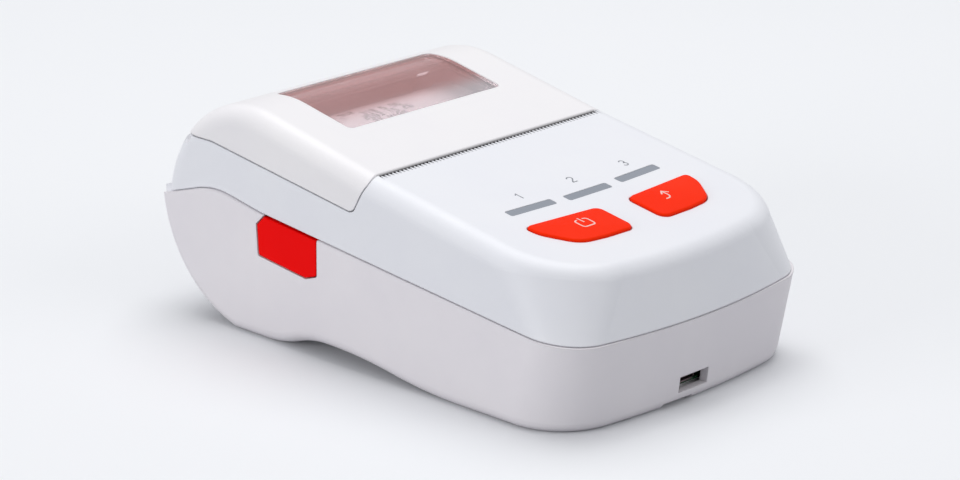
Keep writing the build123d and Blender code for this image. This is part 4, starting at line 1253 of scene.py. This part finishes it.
SHELLS = Group(
    "shells",
    {
        "upper_case": UPPER_ABS,
        "lower_case": LOWER_ABS,
        "paper_cover": COVER_ABS_PAINTED_SHADOW,
        "battery_door": LOWER_ABS,
        "cover_window": TintedAcrylic(),
        "release_button": BUTTON_ABS,
        "lamp_guides": GUIDE_POLYCARBONATE,
    },
)
MECHANISM = Group(
    "printing mechanism",
    {
        "roll_core": CORE_BOARD,
        "hinge_pin": DRAWN_STEEL,
        "platen_roller": PLATEN_RUBBER,
        "platen_shaft": DRAWN_STEEL,
        "platen_gear": GEAR_ACETAL,
        "platen_bushes": BUSH_ACETAL,
        "idler_gear": GEAR_ACETAL,
        "idler_axle": DRAWN_STEEL,
        "motor_pinion": GEAR_ACETAL,
        "feed_motor": SHIELD_TIN,
        "chassis": CHASSIS_PLASTIC,
        "print_head": HEAD_CERAMIC,
        "heat_sink": SINK_ALUMINIUM,
        "head_springs": SPRING_STEEL,
        "head_ribbon": RIBBON_FILM,
        "paper_chute": CHUTE_PLASTIC,
        "paper_sensor": COMPONENT_EPOXY,
        "cover_switch": SWITCH_PLASTIC,
        "latch_lever": CHASSIS_PLASTIC,
        "latch_pin": DRAWN_STEEL,
        "latch_spring": SPRING_STEEL,
    },
)
ELECTRONICS = Group(
    "boards and battery",
    {
        "key_board": BOARD,
        "key_switches": SWITCH_PLASTIC,
        "status_lamps": LAMP_EPOXY,
        "main_board": BOARD,
        "board_components": COMPONENT_EPOXY,
        "radio_module": SHIELD_TIN,
        "sounder": COMPONENT_EPOXY,
        "charging_board": BOARD,
        "charging_socket": SOCKET_TIN_PAINTED_SHADE,
        "battery_pack": BATTERY_WRAP,
        "battery_contacts": CONTACT_BRASS,
        "case_screws": DRAWN_STEEL,
        "board_screws": DRAWN_STEEL,
    },
)


# Studio


@dataclass
class Studio:
    """Pale table, soft lamps, even surroundings and the camera.

    Attributes:
        eye: where the camera stands.
        back: from the picture towards the camera.
        right: to the right in the picture.
        up: up in the picture.
        lens: focal length for a picture 36 mm wide.
        lamps: for each lamp its name, middle, side and power.
        table_pale: the table's two colours as the camera, gloss and glass see them.
        table_thrown: its colour for the light that it throws back, darker so that the printer isn't lit from below.
    """

    eye: tuple[float, float, float] = (-499.87, -481.60, 252.77)
    back: tuple[float, float, float] = (-0.682, -0.659, 0.3175)
    right: tuple[float, float, float] = (0.6947, -0.7193, 0.0)
    up: tuple[float, float, float] = (0.2284, 0.2206, 0.9483)
    lens: float = 127.45
    lamps: tuple[tuple[str, tuple[float, float, float], float, float], ...] = (
        ("lamp_above", (220, 220, 1080), 900, 6.8),
        ("lamp_left", (-1080, 240, 190), 700, 5.15),
        ("lamp_front", (300, -1000, 600), 700, 1.7),
    )
    table_pale: tuple[str, str] = ("#EDEFF2", "#F0F1F4")
    table_thrown: str = "#A9ABB0"

    def camera(self) -> None:
        """Stands the camera where a camera fitted to the photograph's edges stands."""
        data = bpy.data.cameras.new("camera")
        data.sensor_width, data.lens, data.clip_start = 36.0, self.lens, 0.01
        thing = bpy.data.objects.new("camera", data)
        bpy.context.scene.collection.objects.link(thing)
        turn = Matrix((self.right, self.up, self.back)).transposed().to_4x4()
        thing.matrix_world = Matrix.Translation(Vector(self.eye) * MM) @ turn
        bpy.context.scene.camera = thing

    def lamp(self, name: str, place: tuple[float, float, float], size: float, watts: float) -> None:
        """Hangs a square soft lamp that points at the printer.

        Args:
            name: the lamp's name.
            place: its middle, in millimetres.
            size: its side, in millimetres.
            watts: its power.
        """
        data = bpy.data.lights.new(name, "AREA")
        data.shape, data.size, data.energy = "SQUARE", size * MM, watts
        thing = bpy.data.objects.new(name, data)
        bpy.context.scene.collection.objects.link(thing)
        thing.location = Vector(place) * MM
        thing.rotation_euler = (Vector((0, 0, 20 * MM)) - thing.location).to_track_quat("-Z", "Y").to_euler()

    def surroundings(self) -> None:
        """Lights the scene evenly with a neutral white from all around."""
        world = bpy.data.worlds.new("surroundings")
        bpy.context.scene.world = world
        world.use_nodes = True
        world.node_tree.nodes.clear()
        glow = add_node(world.node_tree, "ShaderNodeBackground", {"Color": linear("#FCFDFF"), "Strength": 0.5})
        add_node(world.node_tree, "ShaderNodeOutputWorld", {"Surface": glow.outputs[0]})

    def table(self) -> None:
        """Lays a matt painted table, pale to the eye and darker to the light that it throws back."""
        cells, half, under = 8, 3000, 0.02
        grid = np.linspace(-half, half, cells + 1)
        x, y = np.meshgrid(grid, grid)
        points = np.stack([x, y, np.full_like(x, -under)], axis=-1).reshape(-1, 3)
        row, column = np.meshgrid(np.arange(cells), np.arange(cells), indexing="ij")
        corner = (row * (cells + 1) + column).reshape(-1, 1)
        top = as_object("table", points, [corner + np.array([0, 1, cells + 2, cells + 1])], False)
        made, tree = empty_material("matt painted board")
        path = add_node(tree, "ShaderNodeLightPath")
        seen = add_node(
            tree,
            "ShaderNodeMath",
            {0: path.outputs["Is Camera Ray"], 1: path.outputs["Is Glossy Ray"]},
            operation="ADD",
        ).outputs[0]
        seen = add_node(
            tree,
            "ShaderNodeMath",
            {0: seen, 1: path.outputs["Is Transmission Ray"]},
            operation="ADD",
            use_clamp=True,
        ).outputs[0]
        place = add_node(tree, "ShaderNodeTexCoord").outputs["Object"]
        slow = add_node(tree, "ShaderNodeTexNoise", {"Vector": place, "Scale": per_metre(180.0)}).outputs[0]
        first, second = (linear(code) for code in self.table_pale)
        pale = add_node(tree, "ShaderNodeMix", {0: slow, 6: first, 7: second}, data_type="RGBA").outputs[2]
        colour = add_node(
            tree, "ShaderNodeMix", {0: seen, 6: linear(self.table_thrown), 7: pale}, data_type="RGBA"
        ).outputs[2]
        shader = add_node(tree, "ShaderNodeBsdfPrincipled", {"Base Color": colour, "Roughness": 0.7})
        add_node(tree, "ShaderNodeOutputMaterial", {"Surface": shader.outputs[0]})
        top.data.materials.append(made)

    def build(self) -> None:
        """Sets up the whole studio."""
        bpy.context.scene.view_settings.view_transform = "Standard"
        self.table()
        self.surroundings()
        for lamp in self.lamps:
            self.lamp(*lamp)
        self.camera()


def main() -> None:
    """Loads the frame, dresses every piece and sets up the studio."""
    logging.basicConfig(level=logging.INFO, format="%(message)s")
    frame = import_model()
    for group in (SHELLS, MECHANISM, ELECTRONICS):
        group.dress(frame["nodes"])
    for key in (Key("power_key", "power", -1), Key("feed_key", "feed", 1)):
        for piece in key.dress():
            LOG.info("key: %s", piece.name)
    LOG.info("panel: %s", PanelMarks().dress().name)
    for piece in PaperRoll().dress():
        LOG.info("paper: %s", piece.name)
    Studio().build()


if __name__ == "__main__":
    main()
